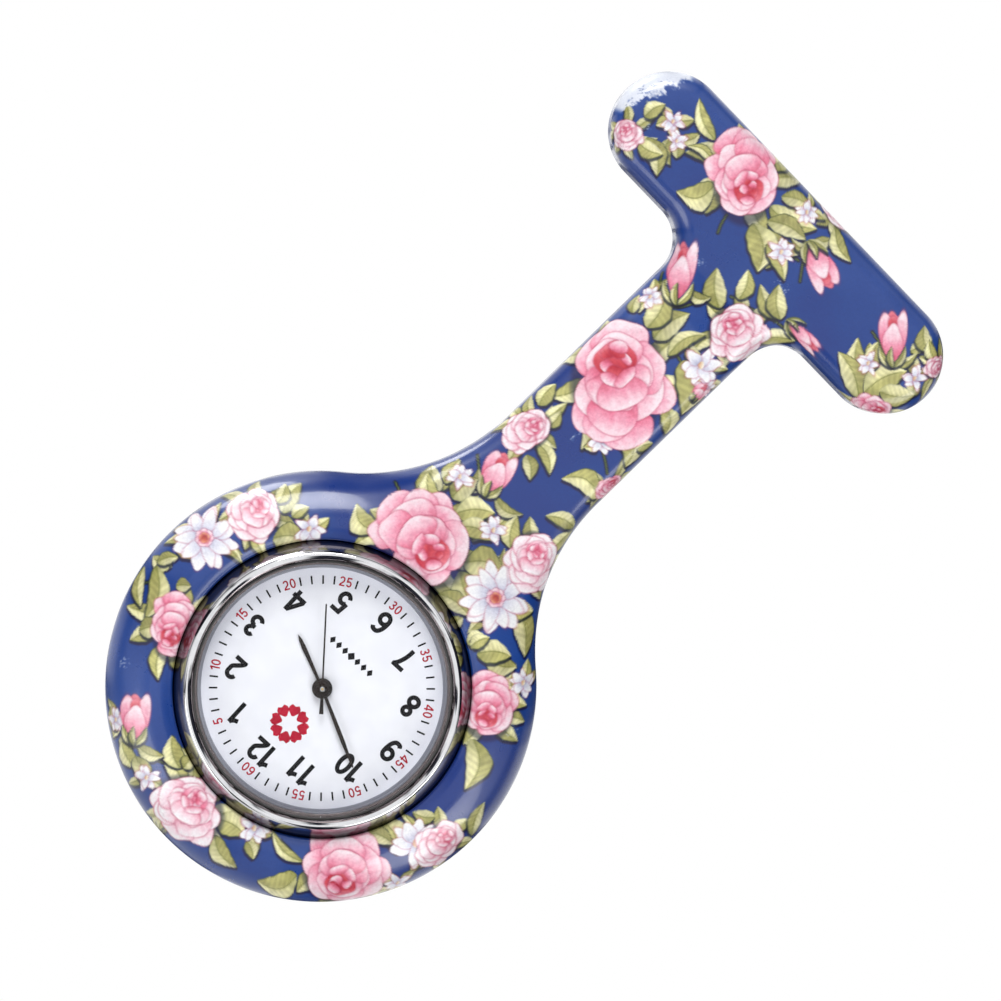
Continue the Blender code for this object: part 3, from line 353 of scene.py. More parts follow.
        # rounded path through the points
        t = np.linspace(0, 1, 24)
        fine = np.array([[np.interp(q, np.linspace(0, 1, len(pts)), pts[:, k]) for k in (0, 1)] for q in t])
        for _ in range(6):
            fine[1:-1] = (fine[:-2] + 2 * fine[1:-1] + fine[2:]) / 4
        d = np.full(X.shape, 9.0, np.float32)
        for a, b in zip(fine - c, fine[1:] - c):
            ab = b - a
            q = np.clip(((X - a[0]) * ab[0] + (Z - a[1]) * ab[1]) / max(ab @ ab, 1e-9), 0, 1)
            d = np.minimum(d, np.hypot(X - a[0] - q * ab[0], Z - a[1] - q * ab[1]))
        self.over(sl, rgb(28, 36, 44), 0.85 * ss(0.24, 0.14, d))
        self.over(sl, rgb(112, 126, 66), 0.75 * ss(0.11, 0.04, d))

    def rubbed(self, x, z, r0, r1, a0, a1, seed):
        """An arc painted pale: partly print rubbed through to the pale base, with torn streaks left in it, and partly a
        painted highlight of the gloss at the bar's end.
        """
        win = self.window(x, z, r1)
        if win is None:
            return
        sl, X, Z = win
        r, a = np.hypot(X, Z), np.degrees(np.arctan2(Z, X)) % 360
        ragged = 1.5 * (self.mid[sl] - 0.5) + 0.7 * (self.fine[sl] - 0.5)
        middle = 1 - np.abs((a - (a0 + a1) / 2) / ((a1 - a0) / 2))
        cover = ss(-0.25, 0.35, r - r0 - 1.5 * (1 - np.clip(middle, 0, 1)) + ragged) * ss(0.0, 0.16, middle)
        # pale base where the print is worn, and a painted highlight
        self.over(sl, rgb(240, 243, 250), 0.94 * cover)
        rng = np.random.default_rng(seed)
        for k in range(34):
            t, q = radians(rng.uniform(a0 + 4, a1 - 4)), rng.uniform(r0 + 0.1, r0 + 1.7)
            cx, cz, b = q * cos(t), q * sin(t), t + pi / 2 + rng.uniform(-0.6, 0.6)
            L, w = rng.uniform(0.12, 0.55), rng.uniform(0.02, 0.055)
            u, v = (X - cx) * cos(b) + (Z - cz) * sin(b), -(X - cx) * sin(b) + (Z - cz) * cos(b)
            v = v + 0.10 * np.sin(u * 9 + k)
            self.over(sl, rgb(70, 90, 142), 0.8 * cover * ss(1.0, 0.5, np.hypot(u / L, v / w)))

    def scuff(self, x, z, rx, rz, seed, strength=0.7):
        """A patch of fine pale rub marks."""
        win = self.window(x, z, max(rx, rz) * 1.2)
        if win is None:
            return
        sl, X, Z = win
        rng = np.random.default_rng(seed)
        fall = ss(1.0, 0.2, np.hypot(X / rx, Z / rz))
        for k in range(26):
            cx, cz = rng.normal(0, 0.4, 2) * (rx, rz)
            a = rng.uniform(0, pi)
            L, w = rng.uniform(0.06, 0.34), rng.uniform(0.02, 0.05)
            u, v = (X - cx) * cos(a) + (Z - cz) * sin(a), -(X - cx) * sin(a) + (Z - cz) * cos(a)
            self.over(sl, rgb(214, 222, 238), strength * fall * ss(1.0, 0.3, np.hypot(u / L, v / w)))

    def sample(self, x, z, layer=None):
        """Colour at points, bilinear."""
        fx = np.clip((np.asarray(x) - self.x0) / self.px - 0.5, 0, self.w - 1.001)
        fz = np.clip((np.asarray(z) - self.z0) / self.px - 0.5, 0, self.h - 1.001)
        j, i = fx.astype(int), fz.astype(int)
        a, b = (fx - j)[:, None], (fz - i)[:, None]
        m = self.img if layer is None else layer
        return (m[i, j] * (1 - a) + m[i, j + 1] * a) * (1 - b) + (m[i + 1, j] * (1 - a) + m[i + 1, j + 1] * a) * b

    def motif(self, x, z):
        """How far the pattern covers the ground here, 0 to 1."""
        return self.sample(x, z, ss(0.03, 0.09, np.abs(self.img - self.ground).max(axis=2))[..., None])


LEAVES = [
    (-11.67, 2.69, -15.41, 4.37, 0.67, 0.1), (-10.12, 0.88, -12.96, 0.24, 0.46, -0.2), (-8.45, -0.59, -10.51, -3.5, 1.19, 0.25),
    (-2.9, 2.05, 1.61, 3.8, 1.03, -0.1), (-2.9, 3.59, -0.06, 4.93, 0.77, 0.1), (-2.13, 1.01, 1.61, 2.3, 0.93, 0.1),
    (-1.87, -0.15, 2.26, 1.01, 0.88, -0.1), (-2.9, -0.4, 0.58, -3.24, 1.34, 0.15), (-0.58, -0.79, 2.98, -1.98, 0.72, 0.1),
    (2.64, 2.17, 3.6, 4.31, 0.57, 0.1), (2.51, 2.17, 0.45, 1.4, 0.41, 0.2), (2.9, 5.27, 6.18, 3.95, 0.72, -0.15),
    (16.44, 2.17, 17.16, 3.46, 0.52, 0.1), (15.28, 0.11, 16.96, 2.69, 0.46, -0.25), (16.05, -3.89, 11.85, -0.59, 1.08, 0.1),
    (15.92, -4.53, 11.49, -2.91, 1.08, -0.1), (16.18, -3.63, 17.52, 0.55, 1.29, 0.1), (17.21, -2.6, 19.79, -0.4, 1.03, -0.1),
    (15.02, -1.57, 13.47, 0.55, 0.67, 0.1), (17.73, 3.46, 15.54, 4.93, 0.77, 0.15), (18.76, 3.33, 16.83, 4.24, 0.57, 0.1),
    (-17.73, -0.59, -17.21, 1.58, 0.72, 0.1), (-14.51, -0.4, -12.65, -2.21, 0.57, -0.2), (-16.05, -2.08, -12.83, -3.83, 0.93, 0.15),
    (-16.31, -2.85, -13.94, -1.95, 0.77, -0.1), (4.96, -4.92, 1.53, -3.83, 0.72, 0.1), (5.22, -4.71, 2.82, -2.55, 0.88, 0.1),
    (1.1, -6.21, -0.27, -3.68, 0.77, -0.1), (0.32, -8.14, -2.51, -5.74, 0.98, 0.1), (5.74, -7.5, 7.98, -5.3, 0.88, 0.1),
    (6.12, -4.87, 10.04, -4.97, 0.36, 0.1), (-2.64, -9.17, -0.79, -8.09, 0.52, -0.2), (-1.74, -14.59, -1.1, -10.62, 1.13, 0.1),
    (-3.03, -14.33, -4.32, -10.62, 1.08, -0.1), (0.45, -14.72, 1.53, -10.85, 0.72, 0.15), (-5.09, -14.46, -6.05, -12.78, 0.62, 0.1),
    (2, -14.33, 5.61, -17.94, 1.6, 0.2), (4.06, -18.59, 6.12, -20.39, 0.88, 0.1), (2.9, -22.58, 5.4, -25.42, 1.08, 0.15),
    (4.84, -23.36, 5.66, -21.86, 0.57, 0.1), (-4.91, -27.1, -5.27, -24.59, 0.88, 0.1), (-2.85, -28.05, -3, -26.09, 0.57, -0.1),
    (-2.18, -29.93, 0.66, -31.2, 0.67, 0.15), (-2.18, -31.48, -0.27, -32.9, 0.67, 0.1), (5.48, -29.42, 1.69, -30.63, 1.03, -0.25),
    (6.12, -32.95, 3.18, -34.24, 0.72, -0.1), (-1.35, -36.38, 1.64, -35.63, 0.57, -0.2), (-2.9, -36.89, -4.58, -35.68, 0.52, 0.1),
    (-4.32, -39.34, -3.93, -36.4, 1.08, 0.1), (-6.51, -41.41, -8.27, -38.44, 1.13, -0.1), (-2.9, -40.12, -0.37, -37.54, 1.13, 0.1),
    (-1.87, -41.02, 1.35, -39.55, 0.93, 0.15), (-4.96, -41.28, -7.8, -39.34, 0.88, 0.1), (-5.87, -38.83, -6.51, -36.25, 0.67, 0.1),
    (3.03, -38.7, 1.28, -36.12, 0.83, 0.1), (-7.41, -46.82, -10.51, -46.44, 1.08, 0.25), (0.97, -42.95, 4.32, -40.94, 1.34, 0.15),
    (1.35, -43.99, 6.25, -45.4, 1.29, -0.1), (1.35, -46.82, 4.71, -46.26, 0.88, 0.1), (4.37, -48.11, 4.45, -46.77, 0.57, 0.1),
    (7.67, -42.44, 11.49, -45.15, 1.08, 0.1), (6.51, -42.31, 9.09, -41.46, 0.88, -0.2), (6.51, -48.11, 7.47, -46.44, 0.77, 0.1),
    (8.96, -47.85, 11.54, -46.31, 1.03, -0.1), (7.99, -48.11, 10.41, -46.02, 1.03, 0.1), (11.54, -48.69, 15.02, -48.24, 0.9, -0.15),
    (7.03, -48.11, 7.61, -46.24, 0.64, 0.1), (13.64, -54.4, 16.44, -58.17, 1.16, 0.2), (20.4, -60.68, 18.7, -57.65, 0.64, 0.1),
    (16.21, -62.13, 14.44, -63.26, 0.64, 0.1), (12.99, -66, 16.38, -67.07, 1.16, 0.15), (12.83, -67.78, 15.41, -66.65, 0.77, 0.1),
    (16.38, -71.32, 18.05, -68.61, 0.84, 0.1), (10.25, -74.06, 6.25, -73.97, 0.52, 0.15), (10.96, -75.58, 8.83, -78.54, 1.42, 0.3),
    (-4.32, -76.09, -6.96, -74.48, 0.9, 0.1), (2.03, -76.96, 4.77, -76.22, 1.16, 0.1), (3, -78.35, 6.58, -78.99, 0.84, -0.15),
    (5.42, -76.54, 7.03, -77.32, 0.58, 0.1), (-3.93, -75.83, -3.93, -74.42, 0.64, 0.1), (0.58, -75.71, -1.35, -74.67, 0.64, 0.1),
    (-8.28, -77.51, -6.03, -76.35, 0.64, -0.15), (-9.9, -77.77, -9.03, -79.22, 0.71, 0.1), (-7.32, -79.22, -9.86, -78.48, 0.84, 0.1),
    (-11.02, -78.16, -13.09, -77, 0.58, 0.1), (-7.8, -78.57, -5.09, -79.83, 0.77, 0.1), (-14.83, -51.98, -15.54, -48.82, 0.9, 0.1),
    (-15.8, -51.72, -16.63, -49.92, 0.64, -0.1), (-13.86, -51.66, -13.41, -49.92, 0.58, 0.1), (-13.54, -54.4, -11.09, -52.46, 1.16, 0.15),
    (-12.8, -54.88, -10.7, -55.2, 0.77, 0.1), (-19.99, -58.11, -18.37, -60.04, 0.84, 0.1), (-19.41, -61.65, -17.15, -60.36, 0.97, 0.1),
    (-18.6, -63.26, -20.82, -63.97, 0.71, 0.15), (-19.73, -63.97, -18.63, -62.17, 0.58, 0.1), (-19.41, -64.55, -16.67, -68.68, 0.9, 0.15),
    (-20.69, -65.52, -17.73, -68.16, 0.71, -0.1), (-16.18, -69.65, -14.96, -67.97, 0.9, 0.1), (-16.83, -64.23, -15.86, -63.26, 0.64, 0.1),
]
STARS = [
    (-15.54, 0.96, 0.88, 5), (-13.94, -0.07, 0.77, 5), (-0.27, 4.24, 0.88, 5), (0.76, -0.22, 0.98, 6),
    (18.55, 0.6, 0.98, 5), (14.33, -1.62, 0.88, 5), (-4.91, -12.22, 0.93, 5), (3.29, -13.3, 1.5, 6),
    (1.74, -25.21, 1.08, 5), (-5.27, -37.49, 0.98, 5), (0.66, -38.78, 1.08, 5), (13.09, -46.98, 1.1, 5),
    (16.86, -65.04, 1.87, 6), (18.7, -69.13, 0.97, 5), (4.93, -75.13, 1.16, 5), (-11.73, -77.45, 0.84, 5),
    (-5.71, -79.12, 0.97, 5), (-11.93, -51.4, 1.16, 5), (-1.35, -80.09, 1.1, 5),
]
DAISIES = [
    (5.35, -43.21, 3.22, 9), (-18.28, -59.14, 2.97, 8), (5.09, -14.46, 1.19, 6)]
ROSES = [
    (2.0, 7.5, 2.5, -90, 0.8, 0, 'pale'),
    (-17.86, -3.11, 1.7, 150, 0.85, 60, 'pale'), (-6.9, 2.3, 4.6, -23, 0.70, 135, 'pink'),
    (3.24, -8.55, 2.89, 160, 0.95, 0, 'pale'), (18.25, -4.79, 2.32, 40, 0.8, 30, 'pink'),
    (19.53, 3.08, 1.55, 0, 0.6, 60, 'pale'), (-1.3, -20.0, 6.2, 149, 0.76, 135, 'pink'),
    (5.74, -27.74, 1.6, 80, 0.6, 80, 'pink'), (-3.98, -29.6, 2.53, 70, 0.75, 75, 'pale'),
    (5.48, -37.93, 3.04, 110, 0.85, -40, 'pale'), (-3.42, -44.37, 4.9, -12, 0.85, 0, 'pink'),
    (12.25, -51.08, 3.16, -50, 0.85, -40, 'pink'), (18.5, -63.42, 2.64, 100, 0.75, 90, 'pale'),
    (13.96, -71.9, 4.13, -60, 0.95, 0, 'pink'), (-0.87, -78.09, 3.74, 100, 0.8, 0, 'pale'),
    (-16.57, -53.98, 2.58, 100, 0.95, 0, 'pale'), (-14.31, -67.29, 3.22, -60, 0.6, -50, 'pink'),
    (-21.34, -81.64, 1.29, 0, 0.6, 60, 'pale'),
]
BUDS = [
    (2.13, 2.25, 6.38, 0.81, 1.29), (15.98, 0.11, 12.62, 3.46, 1.29), (-2.9, -10.64, -6.31, -6.52, 1.34),
    (6.12, -4.35, 9.94, -4.4, 0.67), (-2.33, -36.82, -3.62, -32.95, 1.44), (-9.03, -77.51, -11.93, -74.35, 1.35),
    (5.09, -16.14, 5.25, -14.46, 0.77),
]
STEMS = [
    [(1.48, 2.05), (2.77, 0.76), (4.06, -0.92)],
    [(12.44, 0.76), (13.86, 0.5), (15.41, -0.15)],
    [(-5.48, -1.57), (-5.22, -2.6), (-4.84, -3.37)],
    [(0.45, -6.72), (2.51, -6.21), (5.35, -5.18), (7.93, -5.12)],
    [(-6.05, -9.74), (-4.84, -11.11), (-3.16, -11.75), (-2.13, -10.98), (-1.48, -9.56)],
    [(-0.58, -14.46), (0.97, -14.33), (1.74, -14.46)],
    [(4.06, -18.46), (5.09, -18.38), (5.87, -18.46)],
    [(2.39, -25.81), (3.55, -26.45), (4.45, -27.1)],
    [(-5.61, -34.83), (-4.45, -35.73), (-2.9, -36.89)],
    [(-9.35, -42.31), (-8.32, -42.7), (-7.29, -43.34)],
    [(-2.64, -12.01), (-3.03, -11.11), (-2.85, -10.46)],
    [(6.38, -74.38), (8.32, -74.09), (10.57, -74.22)],
    [(-8.45, -77.77), (-6.83, -77.45), (-4.58, -76.48)],
    [(-12.18, 0.24), (-10.9, 0.76), (-9.61, 0.76)],
    [(-20.05, -67.45), (-19.08, -66.16), (-18.44, -64.87)],
    [(-1.1, 0.11), (0.97, 0.11), (2.51, 0.37)],
]




def paint_front(px):
    p = Print(-34, 34, -97, 18, px, 11)
    rng = np.random.default_rng(21)
    for q in STEMS:
        p.stem(q)
    # foliage under the roses, then the leaves that show
    for x, z, R, deg, sq, sd, kind in ROSES:
        for k in range(7):
            a = radians(rng.uniform(0, 40) + 51.4 * k)
            w, far = min(1.05, 0.22 * R + 0.12), 0.95 * R + rng.uniform(0.9, 2.3)
            p.leaf(x + 0.5 * R * cos(a), z + 0.5 * R * sin(a), x + far * cos(a + 0.2), z + far * sin(a + 0.2),
                   w, rng.uniform(-0.18, 0.18))
    for x, z, R, n in DAISIES + STARS:
        for k in range(3 if R < 1.6 else 5):
            a = radians(rng.uniform(0, 90) + 110 * k)
            far = R + rng.uniform(0.8, 1.7)
            p.leaf(x + 0.3 * R * cos(a), z + 0.3 * R * sin(a), x + far * cos(a + 0.15), z + far * sin(a + 0.15), rng.uniform(0.42, 0.72),
                   rng.uniform(-0.18, 0.18))
    for x0, z0, x1, z1, w, b in LEAVES:
        p.leaf(x0 - 0.06 * (x1 - x0), z0 - 0.06 * (z1 - z0), x1, z1, 1.14 * w, b)
    for i, (x, z, R, n) in enumerate(DAISIES):
        p.daisy(x, z, R, n, 400 + i)
    for i, (x, z, R, n) in enumerate(STARS):
        p.star(x, z, R, n, 300 + i)
    for b in BUDS:
        p.bud(*b)
    for i, r in enumerate(ROSES):
        p.rose(*r, seed=100 + i)
    for i, q in enumerate(((3.3, -2.6, 1.6, 0.9), (-4.2, -6.6, 1.2, 0.8), (-0.3, -26.6, 0.3, 1.6), (15.7, -51.3, 1.2, 1.6),
                           (-17.0, -1.2, 0.7, 0.9), (-15.2, -73.0, 1.1, 0.9))):
        p.scuff(*q, seed=700 + i)
    # the bar's end: worn print and a painted highlight
    p.rubbed(-14.75, 0.3, 3.75, 9.5, 112, 208, 31)
    return p


def paint_back(px):
    """The back has its own part of the print."""
    p = Print(-34, 34, -97, 18, px, 57)
    rng = np.random.default_rng(77)
    edge = sleeve_outline(0.5)

    def depth_in(x, z):
        """Distance inside the sleeve's outline, so that a flower ends before the wall does."""
        q = edge[np.argmin(np.hypot(edge[:, 0] - x, edge[:, 1] - z))]
        return hypot(x - q[0], z - q[1]) * (1 if (x - q[0]) * q[2] + (z - q[1]) * q[3] > 0 else -1)

    spots = []
    tries = 0
    while len(spots) < 46 and tries < 9000:
        tries += 1
        x, z, R = rng.uniform(-27, 27), rng.uniform(-88, 9), rng.choice([4.6, 3.7, 2.9, 2.3, 1.9])
        if depth_in(x, z) >= 0.9 * R and all(hypot(x - a, z - b) > 0.98 * (R + c) + 0.9 for a, b, c in spots):
            spots.append((x, z, R))
    for x, z, R in spots:
        n = int(rng.integers(4, 7))
        st = rng.uniform(0, 360)
        for k in range(n):
            a = radians(st + 360 / n * k + rng.uniform(-14, 14))
            r0, r1 = 0.5 * R, R + rng.uniform(1.0, 2.4)
            p.leaf(x + r0 * cos(a), z + r0 * sin(a), x + r1 * cos(a + 0.15), z + r1 * sin(a + 0.15),
                   min(1.3, 0.3 * R + 0.25), rng.uniform(-0.2, 0.2))
        a = radians(st + 30)
        p.stem([(x + 0.8 * R * cos(a), z + 0.8 * R * sin(a)), (x + 1.3 * R * cos(a + 0.2), z + 1.3 * R * sin(a + 0.2)),
                (x + (1.5 * R + 0.9) * cos(a + 0.1), z + (1.5 * R + 0.9) * sin(a + 0.1))])
        for k in range(2):
            a = radians(st + 75 + 150 * k)
            p.star(x + (R + 0.8) * cos(a), z + (R + 0.8) * sin(a), rng.uniform(0.8, 1.2), 5, int(rng.integers(1, 9999)))
    for i, (x, z, R) in enumerate(spots):
        kind = ("pink", "pale", "pink", "bud", "daisy", "pale")[i % 6]
        if kind == "bud":
            a = rng.uniform(0, 2 * pi)
            p.bud(x - R * cos(a), z - R * sin(a), x + R * cos(a), z + R * sin(a), 0.55 * R)
        elif kind == "daisy":
            p.daisy(x, z, R * 0.85, 8, 500 + i)
        else:
            p.rose(x, z, R, rng.uniform(0, 360), rng.uniform(0.8, 1.0), rng.uniform(0, 180), kind, 600 + i)
    return p



# ---- the sleeve's surface ----------------------------------------------------------------------
def sleeve_outline(step):
    """Closed outline with inward normals, anticlockwise from the bottom of the head ring."""
    R, F, w = HEAD_R, HEAD_FILLET, NECK_W
    dz = sqrt((R + F) ** 2 - (w + F) ** 2)
    a_head = math.degrees(atan2(dz, w + F))
    half = []

    def add_arc(c, r, a0, a1, inward):
        n = max(2, int(math.ceil(abs(radians(a1 - a0)) * r / step)))
        for k in range(n + 1):
            a = radians(a0 + (a1 - a0) * k / n)
            half.append((c[0] + r * cos(a), c[1] + r * sin(a), inward * cos(a), inward * sin(a)))

    def add_line(p, q, nrm):
        n = max(1, int(math.ceil(hypot(q[0] - p[0], q[1] - p[1]) / step)))
        for k in range(n + 1):
            t = k / n
            half.append((p[0] + (q[0] - p[0]) * t, p[1] + (q[1] - p[1]) * t, nrm[0], nrm[1]))

    add_arc((0, HEAD_Z), R, -90, a_head, -1)
    add_arc((w + F, HEAD_Z + dz), F, 180 + a_head, 180, 1)
    low = BAR_Z - BAR_H
    add_line((w, HEAD_Z + dz), (w, low - BAR_FILLET), (-1, 0))
    add_arc((w + BAR_FILLET, low - BAR_FILLET), BAR_FILLET, 180, 90, 1)
    add_line((w + BAR_FILLET, low), (BAR_L - BAR_H, low), (0, 1))
    add_arc((BAR_L - BAR_H, BAR_Z), BAR_H, -90, 90, -1)
    add_line((BAR_L - BAR_H, BAR_Z + BAR_H), (0, BAR_Z + BAR_H), (0, -1))
    pts = []
    for p in half:
        if not pts or hypot(p[0] - pts[-1][0], p[1] - pts[-1][1]) > 1e-6:
            pts.append(p)
    left = [(-x, z, -nx, nz) for x, z, nx, nz in reversed(pts)]
    return np.array(pts + left[1:-1])


def crest(x, z):
    """Depth of the sleeve's front surface away from its edges."""
    x, z = np.asarray(x, float), np.asarray(z, float)
    rho = np.hypot(x, z - HEAD_Z)
    f = NECK_F + (HEAD_F - NECK_F) * ss(0, 1, (24.0 - rho) / 8.0)
    f = f - np.where(rho < 16.0, 0.35 * ((16.0 - rho) / 1.6) ** 2, 0.0)
    return f + BAR_RISE * ss(0, 1, (z + 12.5) / 6.5)


def inside(loops, pts):
    odd = np.zeros(len(pts), bool)
    x, z = pts[:, 0], pts[:, 1]
    for lp in loops:
        a = np.asarray(lp, float)
        b = np.roll(a, -1, axis=0)
        for (x0, z0), (x1, z1) in zip(a, b):
            hit = (z0 > z) != (z1 > z)
            if hit.any():
                odd ^= hit & (x < x0 + (z - z0) * (x1 - x0) / (z1 - z0 if z1 != z0 else 1e-30))
    return odd


def inside_grid(loops, xs, zs):
    """Even-odd inside of loops on a grid, row by row."""
    a = np.concatenate([np.asarray(lp, float) for lp in loops])
    b = np.concatenate([np.roll(np.asarray(lp, float), -1, axis=0) for lp in loops])
    out = np.zeros((len(zs), len(xs)), bool)
    for r, z in enumerate(zs):
        hit = (a[:, 1] > z) != (b[:, 1] > z)
        if hit.any():
            p, q = a[hit], b[hit]
            xc = np.sort(p[:, 0] + (z - p[:, 1]) * (q[:, 0] - p[:, 0]) / (q[:, 1] - p[:, 1]))
            out[r] = np.searchsorted(xc, xs) % 2 == 1
    return out


class Skin:
    """Points with the place on the print they take their colour from, and faces."""

    def __init__(self):
        self.v, self.pat, self.n, self.q, self.t = [], [], 0, [], []

    def add(self, xyz, pat, back):
        xyz = np.asarray(xyz, float)
        self.v.append(xyz)
        self.pat.append(np.column_stack([pat, np.broadcast_to(back, (len(xyz),))]))
        self.n += len(xyz)
        return np.arange(self.n - len(xyz), self.n)

    def bridge(self, a, b):
        a2, b2 = np.roll(a, -1), np.roll(b, -1)
        self.q.append(np.column_stack([a, a2, b2, b]))

    def fan(self, loop):
        self.t.append(np.array([(loop[0], loop[k], loop[k + 1]) for k in range(1, len(loop) - 1)]))

    def sew(self, loops, ids, keep_test):
        """Triangles between loops of points that exist already."""
        pts, edges, flat = [], [], []
        for lp, i in zip(loops, ids):
            s = len(pts)
            pts += [Vector(p) for p in lp]
            flat += list(i)
            edges += [(s + k, s + (k + 1) % len(lp)) for k in range(len(lp))]
        v, e, f, ov, oe, of = delaunay_2d_cdt(pts, edges, [], 0, 1e-6)
        src = [o[0] if o else -1 for o in ov]
        P = np.array([tuple(p) for p in v])
        T = np.array([t for t in f if len(t) == 3])
        keep = keep_test(P[T].mean(axis=1))
        tri = np.array([[flat[src[j]] for j in t] for t in T[keep]])
        self.t.append(tri[(tri[:, 0] != tri[:, 1]) & (tri[:, 1] != tri[:, 2]) & (tri[:, 0] != tri[:, 2])])

    def field(self, loops, ids, depth, grid, pat, back):
        """A grid inside the loops, sewn to them."""
        allp = np.concatenate([np.asarray(lp, float) for lp in loops])
        xs = np.arange(allp[:, 0].min() - grid, allp[:, 0].max() + grid, grid)
        zs = np.arange(allp[:, 1].min() - grid, allp[:, 1].max() + grid, grid)
        m = inside_grid(loops, xs, zs)
        e = m.copy()
        for di in (-1, 0, 1):
            for dj in (-1, 0, 1):
                e &= np.roll(np.roll(m, di, 0), dj, 1)
        cell = e[:-1, :-1] & e[1:, :-1] & e[:-1, 1:] & e[1:, 1:]
        used = np.zeros_like(m)
        for di in (0, 1):
            for dj in (0, 1):
                used[di:di + cell.shape[0], dj:dj + cell.shape[1]] |= cell
        I, J = np.nonzero(used)
        X, Z = xs[J], zs[I]
        new = self.add(np.column_stack([X, -depth(X, Z), Z]), pat(X, Z), back)
        num = np.full(m.shape, -1)
        num[I, J] = new
        ci, cj = np.nonzero(cell)
        self.q.append(np.column_stack([num[ci, cj], num[ci, cj + 1], num[ci + 1, cj + 1], num[ci + 1, cj]]))
        # border of the gridded area, as loose edges
        pad = np.pad(cell, 1)
        rim = {}
        pts, edges, flat = [], [], []

        def node(i, j):
            if (i, j) not in rim:
                rim[(i, j)] = len(pts)
                pts.append(Vector((xs[j], zs[i])))
                flat.append(int(num[i, j]))
            return rim[(i, j)]

        for lp, k in zip(loops, ids):
            s = len(pts)
            pts += [Vector(p) for p in lp]
            flat += [int(q) for q in k]
            edges += [(s + q, s + (q + 1) % len(lp)) for q in range(len(lp))]
        hi, hj = np.nonzero(pad[1:, 1:-1] != pad[:-1, 1:-1])        # edges along x at row hi
        for i, j in zip(hi, hj):
            edges.append((node(i, j), node(i, j + 1)))
        vi, vj = np.nonzero(pad[1:-1, 1:] != pad[1:-1, :-1])        # edges along z at column vj
        for i, j in zip(vi, vj):
            edges.append((node(i, j), node(i + 1, j)))
        v, e2, f, ov, oe, of = delaunay_2d_cdt(pts, edges, [], 0, 1e-6)
        src = [o[0] if o else -1 for o in ov]
        P = np.array([tuple(p) for p in v])
        T = np.array([t for t in f if len(t) == 3])
        C = P[T].mean(axis=1)
        inc = np.zeros(len(C), bool)
        jj, ii = np.floor((C[:, 0] - xs[0]) / grid).astype(int), np.floor((C[:, 1] - zs[0]) / grid).astype(int)
        ok = (ii >= 0) & (jj >= 0) & (ii < cell.shape[0]) & (jj < cell.shape[1])
        inc[ok] = cell[ii[ok], jj[ok]]
        keep = inside(loops, C) & ~inc
        self.t.append(np.array([[flat[src[j]] for j in t] for t in T[keep]]))

    def arrays(self):
        return np.concatenate(self.v), np.concatenate(self.pat)


